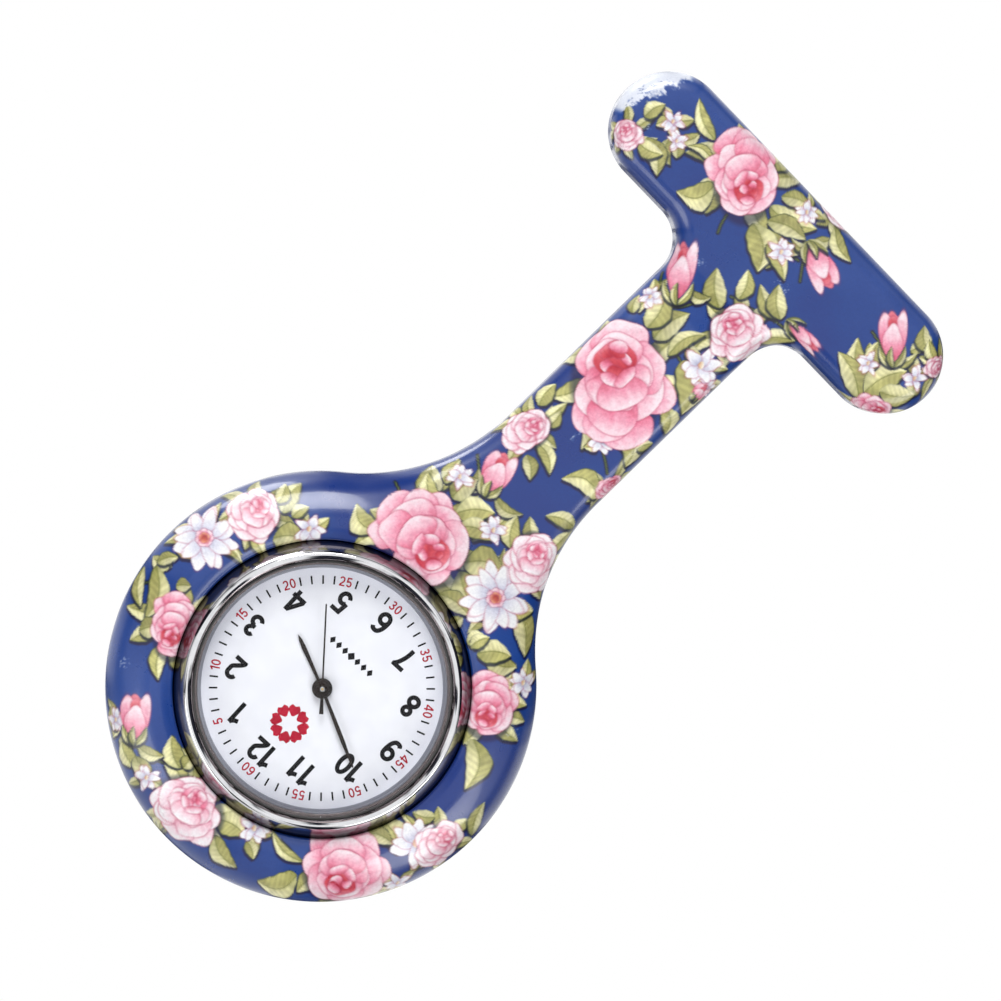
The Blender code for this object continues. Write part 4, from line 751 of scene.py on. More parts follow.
def build_sleeve(step, grid, back_grid, n_edge, n_side, n_back, seg):
    s = Skin()
    out = sleeve_outline(step)
    O, Nn = out[:, :2], out[:, 2:]                       # outline and inward normals

    def pts3(xz, f):
        return np.column_stack([xz[:, 0], -f, xz[:, 1]])

    rng = np.random.default_rng(5)
    along = np.linspace(0, 2 * pi, len(O), endpoint=False)
    wander = sum(rng.uniform(0.1, 0.35) / k * np.sin(k * 3 * along + rng.uniform(0, 6)) for k in (1, 2, 3, 5, 8, 13, 21))

    side_top, side_bot = crest(O[:, 0], O[:, 1]) - EDGE_F, np.full(len(O), BACK_F + EDGE_B)
    height = side_top - side_bot
    rings = []
    for k in range(n_edge + 1):
        ph = (pi / 2) * (1 - k / n_edge)
        d, drop = EDGE_F * (1 - cos(ph)), EDGE_F * (1 - sin(ph))
        xz = O + Nn * d
        run = EDGE_F * (pi / 2 - ph)
        # turn (0 at the flat) spreads the print over the rounding as it wraps
        rings.append(s.add(pts3(xz, crest(xz[:, 0], xz[:, 1]) - drop), O + Nn * (EDGE_F - run), 0.0))
    for k in range(1, n_side):
        t = k / n_side
        f = side_top * (1 - t) + side_bot * t
        front_run, back_run = EDGE_F * pi / 2 + height * t, EDGE_B * pi / 2 + height * (1 - t)
        pf, pb = O + Nn * (EDGE_F - front_run[:, None]), O + Nn * (EDGE_B - back_run[:, None])
        i = s.add(pts3(O, f), pf, 0.0)
        s.alt = getattr(s, "alt", {})
        # the front's flowers lie over the back's, and thin out before the back edge
        s.alt[i[0]] = (pb, t, ss(1.0, 0.55, t + 0.06 * wander))
        rings.append(i)
    for k in range(n_back + 1):
        ph = (pi / 2) * k / n_back
        d, f = EDGE_B * (1 - cos(ph)), BACK_F + EDGE_B * (1 - sin(ph))
        xz = O + Nn * d
        rings.append(s.add(pts3(xz, np.full(len(O), f)), O + Nn * (EDGE_B - EDGE_B * (pi / 2 - ph)), 1.0))
    for a, b in zip(rings, rings[1:]):
        s.bridge(a, b)
    front_loop, back_loop = O + Nn * EDGE_F, O + Nn * EDGE_B

    ring = lambda r: np.array(circle(r, seg, (0.0, HEAD_Z)))
    lip_f = float(crest(0, HEAD_Z + LIP_R + LIP_ROUND))
    prof = []
    for k in range(7):
        ph = (pi / 2) * (1 - k / 6)
        prof.append((LIP_R + LIP_ROUND * (1 - cos(ph)), lip_f - LIP_ROUND * (1 - sin(ph))))
    prof += [(LIP_R, 7.55), (LIP_R, 7.18), (14.96, 6.70)]
    back_prof = [(14.96, 2.61), (14.50, 2.05), (12.96, 2.0), (REAR_R, 2.0), (REAR_R, 1.6)]
    for k in range(7):
        ph = (pi / 2) * k / 6
        back_prof.append((REAR_R + REAR_ROUND * (1 - cos(ph)), BACK_F + REAR_ROUND * (1 - sin(ph))))
    fr = [s.add(pts3(ring(r), np.full(seg, f)), ring(r), 0.0) for r, f in prof]
    br = [s.add(pts3(ring(r), np.full(seg, f)), ring(r), 1.0) for r, f in back_prof]
    for rs in (fr, br):
        for a, b in zip(rs, rs[1:]):
            s.bridge(a, b)

    # pocket wall with the crown's recess, laid out flat over (arc, depth)
    tw, rw = radians(180.0 - HEAD_TWIST), 14.96
    mouth = [(STEM_R_POCKET * cos(2 * pi * k / 40), STEM_F + STEM_R_POCKET * sin(2 * pi * k / 40)) for k in range(40)]
    ax = (cos(tw), sin(tw))

    def wall(sd, f):
        c = sqrt(rw * rw - sd * sd)
        return (ax[0] * c - ax[1] * sd, -f, HEAD_Z + ax[1] * c + ax[0] * sd)

    angs = [(2 * pi * k / seg - tw + pi) % (2 * pi) - pi for k in range(seg)]
    order = sorted(range(seg), key=lambda k: angs[k])
    top = [(angs[k] * rw, 6.70) for k in order] + [(angs[order[0]] * rw + 2 * pi * rw, 6.70)]
    bot = [(p[0], 2.61) for p in top]
    border = top + bot[::-1]
    bids = [fr[-1][k] for k in order] + [fr[-1][order[0]]] + [br[0][order[0]]] + [br[0][k] for k in reversed(order)]
    flat_mouth = [(math.asin(m[0] / rw) * rw, m[1]) for m in mouth]
    w3 = np.array([wall(*m) for m in mouth])
    mids = s.add(w3, w3[:, [0, 2]], 0.0)
    s.sew([border, flat_mouth], [bids, mids], lambda C: inside([border], C) & ~inside([flat_mouth], C))
    e3 = np.array([(ax[0] * POCKET_U - ax[1] * m[0], -m[1], HEAD_Z + ax[1] * POCKET_U + ax[0] * m[0]) for m in mouth])
    eids = s.add(e3, e3[:, [0, 2]], 0.0)
    s.bridge(mids, eids)
    s.fan(eids)

    same = lambda X, Z: np.column_stack([X, Z])
    s.field([front_loop, ring(LIP_R + LIP_ROUND)], [rings[0], fr[0]], crest, grid, same, 0.0)

    # rear window and the brooch plate's pocket, with softened edges
    win = np.array(subdivide_loop(rounded_rect(WIN_X, WIN_Z, 1.0, 8), back_grid))
    pock = np.array(rounded_rect(POCK_X, POCK_Z, 1.0, 8))
    wn = np.roll(win, -1, 0) - np.roll(win, 1, 0)
    wn = np.column_stack([wn[:, 1], -wn[:, 0]]) / np.hypot(wn[:, 0], wn[:, 1])[:, None]
    steps = []
    for k in range(4):                                     # small lip rounding outside the window line
        ph = (pi / 2) * k / 3
        steps.append((win + wn * 0.2 * (1 - sin(ph)), BACK_F + 0.2 * (1 - cos(ph))))
    wr = [s.add(pts3(p, np.full(len(p), f)), p, 1.0) for p, f in steps]
    wr.append(s.add(pts3(win, np.full(len(win), POCK_F0)), win, 1.0))
    for a, b in zip(wr, wr[1:]):
        s.bridge(a, b)
    p1 = s.add(pts3(pock, np.full(len(pock), POCK_F0)), pock, 1.0)
    p2 = s.add(pts3(pock, np.full(len(pock), POCK_F1)), pock, 1.0)
    s.sew([win, pock], [wr[-1], p1], lambda C: inside([pock], C) & ~inside([win], C))
    s.bridge(p1, p2)
    s.fan(p2)
    s.field([back_loop, ring(REAR_R + REAR_ROUND), steps[0][0]], [rings[-1], br[-1], wr[0]],
            lambda X, Z: np.full(np.shape(X), BACK_F), back_grid, same, 1.0)
    return s


def linear(c):
    return np.where(c <= 0.04045, c / 12.92, ((c + 0.055) / 1.055) ** 2.4)


# ---- materials ---------------------------------------------------------------------------------
def shader(name, colour=(0.8, 0.8, 0.8), rough=0.4, metal=0.0, **sockets):
    m = bpy.data.materials.new(name)
    m.use_nodes = True
    b = m.node_tree.nodes["Principled BSDF"]
    b.inputs["Base Color"].default_value = (*colour, 1.0)
    b.inputs["Roughness"].default_value = rough
    b.inputs["Metallic"].default_value = metal
    for k, v in sockets.items():
        b.inputs[k.replace("_", " ")].default_value = v
    return m, m.node_tree, b


def node(nt, kind, **settings):
    n = nt.nodes.new(kind)
    for k, v in settings.items():
        setattr(n, k, v)
    return n


def place_of(nt, scale=None, offset=None):
    """The piece's own coordinates, optionally scaled by axis."""
    tc = node(nt, "ShaderNodeTexCoord")
    if scale is None and offset is None:
        return tc.outputs["Object"]
    mp = node(nt, "ShaderNodeMapping")
    if scale:
        mp.inputs["Scale"].default_value = scale
    if offset:
        mp.inputs["Location"].default_value = offset
    nt.links.new(tc.outputs["Object"], mp.inputs["Vector"])
    return mp.outputs["Vector"]


def noise(nt, scale, detail=4.0, rough=0.55, vector=None):
    n = node(nt, "ShaderNodeTexNoise")
    n.inputs["Scale"].default_value = scale
    n.inputs["Detail"].default_value = detail
    n.inputs["Roughness"].default_value = rough
    nt.links.new(vector or place_of(nt), n.inputs["Vector"])
    return n.outputs["Fac"]


def spread(nt, value, lo, hi, from_lo=0.3, from_hi=0.7):
    r = node(nt, "ShaderNodeMapRange")
    r.inputs["From Min"].default_value, r.inputs["From Max"].default_value = from_lo, from_hi
    r.inputs["To Min"].default_value, r.inputs["To Max"].default_value = lo, hi
    nt.links.new(value, r.inputs["Value"])
    return r.outputs["Result"]


def two_tone(nt, value, a, b, lo=0.35, hi=0.65):
    r = node(nt, "ShaderNodeValToRGB")
    r.color_ramp.elements[0].position, r.color_ramp.elements[1].position = lo, hi
    r.color_ramp.elements[0].color, r.color_ramp.elements[1].color = (*a, 1), (*b, 1)
    nt.links.new(value, r.inputs["Fac"])
    return r.outputs["Color"]


def bump(nt, b, height, strength, distance):
    n = node(nt, "ShaderNodeBump")
    n.inputs["Strength"].default_value = strength
    n.inputs["Distance"].default_value = distance
    nt.links.new(height, n.inputs["Height"])
    nt.links.new(n.outputs["Normal"], b.inputs["Normal"])
    return n


def about_head(nt):
    """Distance from the watch head's axis, in metres."""
    v = place_of(nt)
    m = node(nt, "ShaderNodeVectorMath", operation="MULTIPLY")
    m.inputs[1].default_value = (1, 0, 1)
    nt.links.new(v, m.inputs[0])
    d = node(nt, "ShaderNodeVectorMath", operation="DISTANCE")
    d.inputs[1].default_value = (0, 0, HEAD_Z * MM)
    nt.links.new(m.outputs["Vector"], d.inputs[0])
    return d.outputs["Value"]


def rings_of(nt, pitch_mm, jitter=0.0):
    """Fine circles about the watch head's axis as a 0-1 value; jitter is not used."""
    r = about_head(nt)
    c = node(nt, "ShaderNodeCombineXYZ")
    nt.links.new(r, c.inputs["X"])
    n = node(nt, "ShaderNodeTexNoise")
    n.inputs["Scale"].default_value = 1.0 / (pitch_mm * MM)
    n.inputs["Detail"].default_value = 3.0
    nt.links.new(c.outputs["Vector"], n.inputs["Vector"])
    return n.outputs["Fac"]


def metal(name, dark, light, r0, r1, grain=900.0, bump_s=0.05, rings=False, pitch=0.08, brush=None, **sockets):
    m, nt, b = shader(name, light, (r0 + r1) / 2, 1.0, **sockets)
    v = rings_of(nt, pitch) if rings else noise(nt, grain, 5)
    if brush:
        v = noise(nt, 1.0, 4, vector=place_of(nt, brush))
    nt.links.new(two_tone(nt, v, dark, light), b.inputs["Base Color"])
    big = noise(nt, grain / 6 if not rings else 160, 3)
    mix = node(nt, "ShaderNodeMath", operation="ADD")
    nt.links.new(spread(nt, v, r0, r1), mix.inputs[0])
    nt.links.new(spread(nt, big, -0.3 * (r1 - r0), 0.3 * (r1 - r0)), mix.inputs[1])
    nt.links.new(mix.outputs[0], b.inputs["Roughness"])
    bump(nt, b, v, bump_s, 0.00002)
    return m


def plastic(name, dark, light, r0, r1, grain=1400.0, bump_s=0.15, **sockets):
    m, nt, b = shader(name, light, (r0 + r1) / 2, 0.0, **sockets)
    v = noise(nt, grain, 5)
    nt.links.new(two_tone(nt, noise(nt, grain / 5, 3), dark, light), b.inputs["Base Color"])
    nt.links.new(spread(nt, v, r0, r1), b.inputs["Roughness"])
    bump(nt, b, v, bump_s, 0.00003)
    return m


def silicone_material():
    m, nt, b = shader("silicone_print", (0.1, 0.16, 0.42), 0.3, 0.0)
    b.inputs["Coat Weight"].default_value = 0.55
    b.inputs["Coat Roughness"].default_value = 0.10
    b.inputs["Coat IOR"].default_value = 1.45
    b.inputs["Specular IOR Level"].default_value = 0.5
    a = node(nt, "ShaderNodeAttribute", attribute_name="print", attribute_type="GEOMETRY")
    speck = node(nt, "ShaderNodeMix", data_type="RGBA", blend_type="MULTIPLY")
    speck.inputs["Factor"].default_value = 1.0
    nt.links.new(a.outputs["Color"], speck.inputs["A"])
    nt.links.new(two_tone(nt, noise(nt, 5200, 3, 0.6), (0.90, 0.90, 0.92), (1.0, 1.0, 1.0), 0.3, 0.6), speck.inputs["B"])
    nt.links.new(speck.outputs["Result"], b.inputs["Base Color"])
    fine = noise(nt, 3600, 5, 0.6)
    nt.links.new(spread(nt, noise(nt, 260, 5), 0.24, 0.40), b.inputs["Roughness"])
    wide = noise(nt, 150, 2)
    mix = node(nt, "ShaderNodeMath", operation="MULTIPLY_ADD")
    mix.inputs[1].default_value = 6.0
    nt.links.new(wide, mix.inputs[0])
    nt.links.new(fine, mix.inputs[2])
    bump(nt, b, mix.outputs[0], 0.14, 0.00003)
    return m


def crystal_material():
    """Clear mineral glass: it lets light straight through and mirrors at its surface."""
    m = bpy.data.materials.new("mineral_glass")
    m.use_nodes = True
    nt = m.node_tree
    nt.nodes.clear()
    out = node(nt, "ShaderNodeOutputMaterial")
    clear = node(nt, "ShaderNodeBsdfTransparent")
    clear.inputs["Color"].default_value = (0.985, 0.99, 0.99, 1)
    gloss = node(nt, "ShaderNodeBsdfGlossy")
    gloss.inputs["Color"].default_value = (1, 1, 1, 1)
    nt.links.new(spread(nt, noise(nt, 220, 4), 0.0, 0.03), gloss.inputs["Roughness"])
    lw = node(nt, "ShaderNodeLayerWeight")
    lw.inputs["Blend"].default_value = 0.5
    p5 = node(nt, "ShaderNodeMath", operation="POWER")
    p5.inputs[1].default_value = 5.0
    nt.links.new(lw.outputs["Facing"], p5.inputs[0])
    fr = node(nt, "ShaderNodeMath", operation="MULTIPLY_ADD")
    fr.inputs[1].default_value, fr.inputs[2].default_value = 0.97, 0.007
    nt.links.new(p5.outputs[0], fr.inputs[0])
    mix = node(nt, "ShaderNodeMixShader")
    nt.links.new(fr.outputs[0], mix.inputs["Fac"])
    nt.links.new(clear.outputs["BSDF"], mix.inputs[1])
    nt.links.new(gloss.outputs["BSDF"], mix.inputs[2])
    nt.links.new(mix.outputs["Shader"], out.inputs["Surface"])
    return m


SILICONE = silicone_material()
CHROME = metal("chrome_plate", (0.80, 0.81, 0.83), (0.92, 0.92, 0.93), 0.03, 0.085, 700, 0.02)



def grime_ring(m):
    """Painted shade: the base colour is darkened on the bezel's flank towards the sleeve's lip, and on the inner slope
    down to the crystal, standing in for the shade and dark reflections there.
    """
    nt = m.node_tree
    b = nt.nodes["Principled BSDF"]
    src = b.inputs["Base Color"].links[0].from_socket
    r = node(nt, "ShaderNodeMapRange")
    r.inputs["From Min"].default_value, r.inputs["From Max"].default_value = 0.01305, 0.01365
    nt.links.new(about_head(nt), r.inputs["Value"])
    mx = node(nt, "ShaderNodeMix", data_type="RGBA", blend_type="MULTIPLY")
    nt.links.new(r.outputs["Result"], mx.inputs["Factor"])
    nt.links.new(src, mx.inputs["A"])
    # painted shade on the flank towards the sleeve's lip
    mx.inputs["B"].default_value = (0.19, 0.17, 0.18, 1)
    r2 = node(nt, "ShaderNodeMapRange")
    r2.inputs["From Min"].default_value, r2.inputs["From Max"].default_value = 0.01270, 0.01263
    nt.links.new(about_head(nt), r2.inputs["Value"])
    mx2 = node(nt, "ShaderNodeMix", data_type="RGBA", blend_type="MULTIPLY")
    nt.links.new(r2.outputs["Result"], mx2.inputs["Factor"])
    nt.links.new(mx.outputs["Result"], mx2.inputs["A"])
    # painted shade on the inner slope by the crystal
    mx2.inputs["B"].default_value = (0.21, 0.175, 0.175, 1)
    nt.links.new(mx2.outputs["Result"], b.inputs["Base Color"])


CASE = metal("case_chrome", (0.80, 0.81, 0.83), (0.92, 0.92, 0.93), 0.03, 0.085, 700, 0.02)
# painted shade on the case's flank and inner slope
grime_ring(CASE)
GLASS = crystal_material()
RUBBER = plastic("gasket_rubber", (0.02, 0.02, 0.02), (0.045, 0.044, 0.043), 0.55, 0.75)
REHAUT = metal("rehaut_dark", (0.10, 0.10, 0.11), (0.34, 0.35, 0.40), 0.20, 0.40, rings=True, pitch=0.07, bump_s=0.4)
DIAL = plastic("dial_lacquer", (0.72, 0.72, 0.77), (0.765, 0.765, 0.81), 0.30, 0.42, 2600, 0.10)
def lift_rim(m):
    """Painted light: the lacquer is made a little lighter and cooler towards the dial's edge, to offset the shade that
    falls there from the rehaut.
    """
    nt = m.node_tree
    b = nt.nodes["Principled BSDF"]
    src = b.inputs["Base Color"].links[0].from_socket
    r = node(nt, "ShaderNodeMapRange")
    r.inputs["From Min"].default_value, r.inputs["From Max"].default_value = 0.0088, 0.0117
    nt.links.new(about_head(nt), r.inputs["Value"])
    mx = node(nt, "ShaderNodeMix", data_type="RGBA", blend_type="MULTIPLY")
    nt.links.new(r.outputs["Result"], mx.inputs["Factor"])
    nt.links.new(src, mx.inputs["A"])
    # painted light: lifts the rim's colour against the rehaut's shade
    mx.inputs["B"].default_value = (1.10, 1.10, 1.14, 1)
    nt.links.new(mx.outputs["Result"], b.inputs["Base Color"])


# painted light at the dial's edge
lift_rim(DIAL)
BRASS = metal("brass", (0.60, 0.42, 0.16), (0.80, 0.62, 0.30), 0.18, 0.34, 1200)
HOLDER = plastic("holder_plastic", (0.70, 0.69, 0.63), (0.80, 0.79, 0.74), 0.42, 0.6)
STEEL = metal("satin_steel", (0.46, 0.46, 0.47), (0.66, 0.66, 0.67), 0.20, 0.38, 1600)
BACKSTEEL = metal("turned_steel", (0.50, 0.50, 0.51), (0.72, 0.72, 0.73), 0.16, 0.36, rings=True, pitch=0.05, bump_s=0.3)
BLACKPLATE = plastic("movement_plastic", (0.020, 0.020, 0.024), (0.045, 0.045, 0.052), 0.35, 0.6)
BOARD = plastic("solder_mask", (0.025, 0.14, 0.07), (0.05, 0.24, 0.13), 0.22, 0.45, 900, 0.2)
NICKEL = metal("nickel_plate", (0.58, 0.56, 0.52), (0.76, 0.74, 0.70), 0.12, 0.26, 1100)
COPPER = metal("copper_wire", (0.50, 0.18, 0.07), (0.78, 0.38, 0.18), 0.25, 0.45, 2400, 0.4)
WHEEL = plastic("wheel_plastic", (0.72, 0.71, 0.64), (0.84, 0.83, 0.78), 0.35, 0.55)
HANDS = plastic("hand_enamel", (0.004, 0.003, 0.003), (0.020, 0.012, 0.009), 0.18, 0.34, 1800, 0.06, Specular_IOR_Level=0.35)
BROOCH = metal("brooch_nickel", (0.57, 0.565, 0.555), (0.70, 0.695, 0.685), 0.22, 0.32, 1300, 0.03, brush=(700, 9000, 9000))
INK = plastic("black_ink", (0.002, 0.002, 0.003), (0.008, 0.007, 0.009), 0.45, 0.6, 3000, 0.1, Specular_IOR_Level=0.12)
RED = plastic("red_ink", (0.34, 0.004, 0.020), (0.46, 0.010, 0.036), 0.45, 0.6, 3000, 0.1, Specular_IOR_Level=0.15)
BY_SLOT = {"silicone": SILICONE, "chrome": CHROME, "crystal": GLASS, "gasket": RUBBER, "rehaut": REHAUT,
           "dial_white": DIAL, "brass": BRASS, "holder": HOLDER, "steel": STEEL, "plate_plastic": BLACKPLATE,
           "board": BOARD, "nickel": NICKEL, "copper": COPPER, "wheel_plastic": WHEEL, "hand_black": HANDS,
           "brooch_steel": BROOCH}

for sp in frame["record"]["subparts"]:
    ob = frame["nodes"][sp["node"]]
    mats = ob.data.materials
    if not len(mats):
        mats.append(BY_SLOT[sp["material_slot"]])
    for slot in ob.material_slots:
        slot.material = BY_SLOT[sp["material_slot"]]


def soften(name, width, angle=30, segments=2):
    """A fine bevel on a carried-over node's edges."""
    ob = frame["nodes"][name]
    mod = ob.modifiers.new("edge", "BEVEL")
    mod.width, mod.segments, mod.limit_method, mod.angle_limit = width * MM, segments, "ANGLE", radians(angle)
    mod.use_clamp_overlap = True
    mod.harden_normals = False


# ---- pieces ------------------------------------------------------------------------------------
def piece(name, me, mat, body, replaces=(), smooth=True, angle=35):
    me.materials.clear()
    me.materials.append(mat)
    if smooth:
        me.shade_smooth()
        me.set_sharp_from_angle(angle=radians(angle))
    ob = bpy.data.objects.new(name, me)
    bpy.context.scene.collection.objects.link(ob)
    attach(ob, body)
    if replaces:
        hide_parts(*replaces)
    return ob


def fillet(profile, seg=5):
    """Closed profile of (r, f, radius): corners with a radius are rounded."""
    n = len(profile)
    out = []
    for i, (x, y, rad) in enumerate(profile):
        if rad <= 0:
            out.append((x, y))
            continue
        p, a, c = Vector((x, y)), Vector(profile[i - 1][:2]), Vector(profile[(i + 1) % n][:2])
        u, w = (a - p).normalized(), (c - p).normalized()
        ang = math.acos(max(-1, min(1, u.dot(w))))
        d = min(rad / math.tan(ang / 2), 0.45 * (a - p).length, 0.45 * (c - p).length)
        r = d * math.tan(ang / 2)
        centre = p + (u + w).normalized() * (r / sin(ang / 2))
        s, e = p + u * d - centre, p + w * d - centre
        total = s.angle_signed(e)
        for k in range(seg + 1):
            t = total * k / seg
            q = Vector((s.x * cos(t) + s.y * sin(t), -s.x * sin(t) + s.y * cos(t)))
            out.append(tuple(centre + q))
    return out


def revolve_mesh(name, profile, place, n, matrix=None):
    bm = bmesh.new()
    rows = []
    for r, a in profile:
        if r < 1e-9:
            v = bm.verts.new(Vector(place(0.0, 0.0, a)) * MM)
            rows.append([v] * n)
        else:
            rows.append([bm.verts.new(Vector(place(r * cos(2 * pi * k / n), r * sin(2 * pi * k / n), a)) * MM)
                         for k in range(n)])
    m = len(rows)
    for i in range(m):
        a, b = rows[i], rows[(i + 1) % m]
        if a[0] is a[1] and b[0] is b[1]:
            continue
        for k in range(n):
            q = (k + 1) % n
            vs = []
            for v in (a[k], a[q], b[q], b[k]):
                if v not in vs:
                    vs.append(v)
            if len(vs) > 2:
                bm.faces.new(vs)
    bmesh.ops.remove_doubles(bm, verts=bm.verts, dist=1e-7)
    bmesh.ops.recalc_face_normals(bm, faces=bm.faces)
    me = bpy.data.meshes.new(name)
    bm.to_mesh(me)
    bm.free()
    if matrix is not None:
        me.transform(matrix)
    return me


def turn_on(x, z, f):
    return (x, -f, z)


# ---- the printed sleeve -------------------------------------------------------------------------
# the gloss lays a pale veil over the print, so the print itself is a little deeper
PRINT_VEIL, PRINT_GAIN = np.array([0.027, 0.026, 0.024]), 0.77
front_print, back_print = paint_front(0.04), paint_back(0.05)
sk = build_sleeve(0.13, 0.115, 0.19, 24, 22, 9, 720)
XYZ, PAT = sk.arrays()
me = bpy.data.meshes.new("sleeve_skin")
quads, tris = np.concatenate(sk.q), np.concatenate(sk.t)
me.from_pydata((XYZ * MM).tolist(), [], quads.tolist() + tris.tolist())
bm = bmesh.new()
bm.from_mesh(me)
bmesh.ops.recalc_face_normals(bm, faces=bm.faces)
bm.to_mesh(me)
bm.free()
front_c = front_print.sample(PAT[:, 0], PAT[:, 1])
alt = PAT[:, :2].copy()
on_wall, down, over = (np.zeros((len(PAT), 1)) for _ in range(3))
for start, (pts, t, keep) in sk.alt.items():
    row = slice(start, start + len(pts))
    alt[row], on_wall[row], down[row], over[row, 0] = pts, 1.0, t, keep
back_c = back_print.sample(-alt[:, 0], alt[:, 1])
mixv = PAT[:, 2:3]
wall_c = (front_print.sample(PAT[:, 0], PAT[:, 1], front_print.ground) * (1 - down)
          + back_print.sample(-alt[:, 0], alt[:, 1], back_print.ground) * down)
under = back_print.motif(-alt[:, 0], alt[:, 1])
wall_c = wall_c * (1 - under) + back_c * under
over = over * front_print.motif(PAT[:, 0], PAT[:, 1])
wall_c = wall_c * (1 - over) + front_c * over
col = np.clip(np.where(on_wall > 0, wall_c, front_c * (1 - mixv) + back_c * mixv), 0, 1)
rgba = np.ones((len(XYZ), 4), np.float32)
rgba[:, :3] = np.clip((linear(col) - PRINT_VEIL) * PRINT_GAIN, 0.002, 0.95)
att = me.color_attributes.new("print", "FLOAT_COLOR", "POINT")
att.data.foreach_set("color", rgba.ravel())
piece("sleeve_skin", me, SILICONE, ROOT, ("silicone_sleeve",), angle=48)

# ---- watch head ----------------------------------------------------------------------------------
NS = 240
case_profile = fillet([
    (12.58, 9.74, 0.06), (12.95, 9.82, 0.5), (13.16, 9.79, 0.2), (13.29, 9.66, 0.10), (13.84, 8.86, 0.8), (14.24, 8.05, 0.3),
    (14.27, 7.15, 0.0), (14.90, 6.66, 0.05), (14.90, 2.67, 0.1), (14.44, 2.12, 0.1), (12.90, 2.08, 0.0), (12.55, 2.08, 0.03),
    (12.55, 2.95, 0), (12.25, 2.95, 0), (12.25, 7.82, 0), (11.98, 7.82, 0.03), (11.98, 8.05, 0.03), (12.44, 8.05, 0),
    (12.44, 9.40, 0.05)])
case_me = revolve_mesh("case_body", case_profile, turn_on, NS)
case_ob = bpy.data.objects.new("case_tmp", case_me)
bpy.context.scene.collection.objects.link(case_ob)
tool_me = revolve_mesh("stem_bore", [(0, 11.5), (0.76, 11.5), (0.76, 15.6), (0, 15.6)], lambda x, z, a: (a, -STEM_F + x, z), 32)
tool = bpy.data.objects.new("stem_bore", tool_me)
bpy.context.scene.collection.objects.link(tool)
mod = case_ob.modifiers.new("bore", "BOOLEAN")
mod.operation, mod.solver, mod.object = "DIFFERENCE", "EXACT", tool
bpy.context.view_layer.update()
bored = bpy.data.meshes.new_from_object(case_ob.evaluated_get(bpy.context.evaluated_depsgraph_get()))
bpy.data.objects.remove(case_ob, do_unlink=True)
bpy.data.objects.remove(tool, do_unlink=True)
bored.name = "case_body"
bored.transform(HEAD)
piece("case_body", bored, CASE, ROOT, ("watch_case",), angle=25)

glass_me = revolve_mesh("crystal_lens", fillet([(0, 9.30, 0), (12.06, 9.30, 0.03), (12.20, 9.18, 0.03), (12.20, 8.08, 0.02), (0, 8.08, 0)]),
                        turn_on, NS, HEAD)
piece("crystal_lens", glass_me, GLASS, ROOT, ("crystal",))

# the rehaut is stepped by fine turned lines
rh = [(11.62, 6.50)]
for k in range(6):
    t0, t1 = k / 6, (k + 0.72) / 6
    rh += [(11.62 + 0.33 * t0 + 0.012, 6.50 + 1.29 * t0 + 0.02), (11.62 + 0.33 * t1, 6.50 + 1.29 * t1)]
rh += [(11.95, 7.79), (12.20, 7.79), (12.20, 6.50)]
piece("rehaut_turned", revolve_mesh("rehaut_turned", rh[::-1], turn_on, NS, HEAD), REHAUT, ROOT, ("rehaut_ring",), angle=15)

back_profile = fillet([(0, 2.05, 0), (8.9, 2.05, 0.0), (8.98, 2.13, 0.0), (9.22, 2.13, 0.0), (9.30, 2.05, 0.0), (10.6, 2.05, 0), (12.2, 2.05, 0.1),
                       (12.5, 2.25, 0.1), (12.5, 2.72, 0.03), (12.2, 2.72, 0), (12.2, 3.3, 0), (11.7, 3.3, 0), (11.7, 2.55, 0), (0, 2.55, 0)])
piece("back_cover", revolve_mesh("back_cover", back_profile, turn_on, NS, HEAD), BACKSTEEL, ROOT, ("case_back",), angle=20)


def extruded(name, loops, f0, f1, matrix=HEAD, bevel=0.0):
    """A flat plate with holes: loops of (u, v), even-odd, between two depths."""
    bm = bmesh.new()
    pts, edges = [], []
    for lp in loops:
        s = len(pts)
        pts += [Vector(p) for p in lp]
        edges += [(s + k, s + (k + 1) % len(lp)) for k in range(len(lp))]
    v, e, f, ov, oe, of = delaunay_2d_cdt(pts, edges, [], 0, 1e-7)
    src = [o[0] for o in ov]
    P = np.array([tuple(p) for p in v])
    T = [t for t in f if len(t) == 3]
    keep = inside(loops, P[np.array(T)].mean(axis=1))
    lo = [bm.verts.new(Vector((p[0], -f0, p[1])) * MM) for p in pts]
    hi = [bm.verts.new(Vector((p[0], -f1, p[1])) * MM) for p in pts]
    for t, k in zip(T, keep):
        if k:
            bm.faces.new([lo[src[j]] for j in t])
            bm.faces.new([hi[src[j]] for j in reversed(t)])
    s = 0
    for lp in loops:
        n = len(lp)
        for k in range(n):
            a, b = s + k, s + (k + 1) % n
            bm.faces.new([lo[a], lo[b], hi[b], hi[a]])
        s += n
    bmesh.ops.recalc_face_normals(bm, faces=bm.faces)
    if bevel:
        rim = [e for e in bm.edges if abs(e.verts[0].co.y + f0 * MM) > 1e-7 and abs(e.verts[1].co.y + f0 * MM) > 1e-7
               and len(e.link_faces) == 2 and e.link_faces[0].normal.angle(e.link_faces[1].normal, 0) > 0.6
               and abs(e.verts[0].co.y - e.verts[1].co.y) < 1e-8]
        bmesh.ops.bevel(bm, geom=rim, offset=bevel * MM, segments=2, affect="EDGES", clamp_overlap=True)
        bmesh.ops.recalc_face_normals(bm, faces=bm.faces)
    me = bpy.data.meshes.new(name)
    bm.to_mesh(me)
    bm.free()
    me.transform(matrix)
    return me


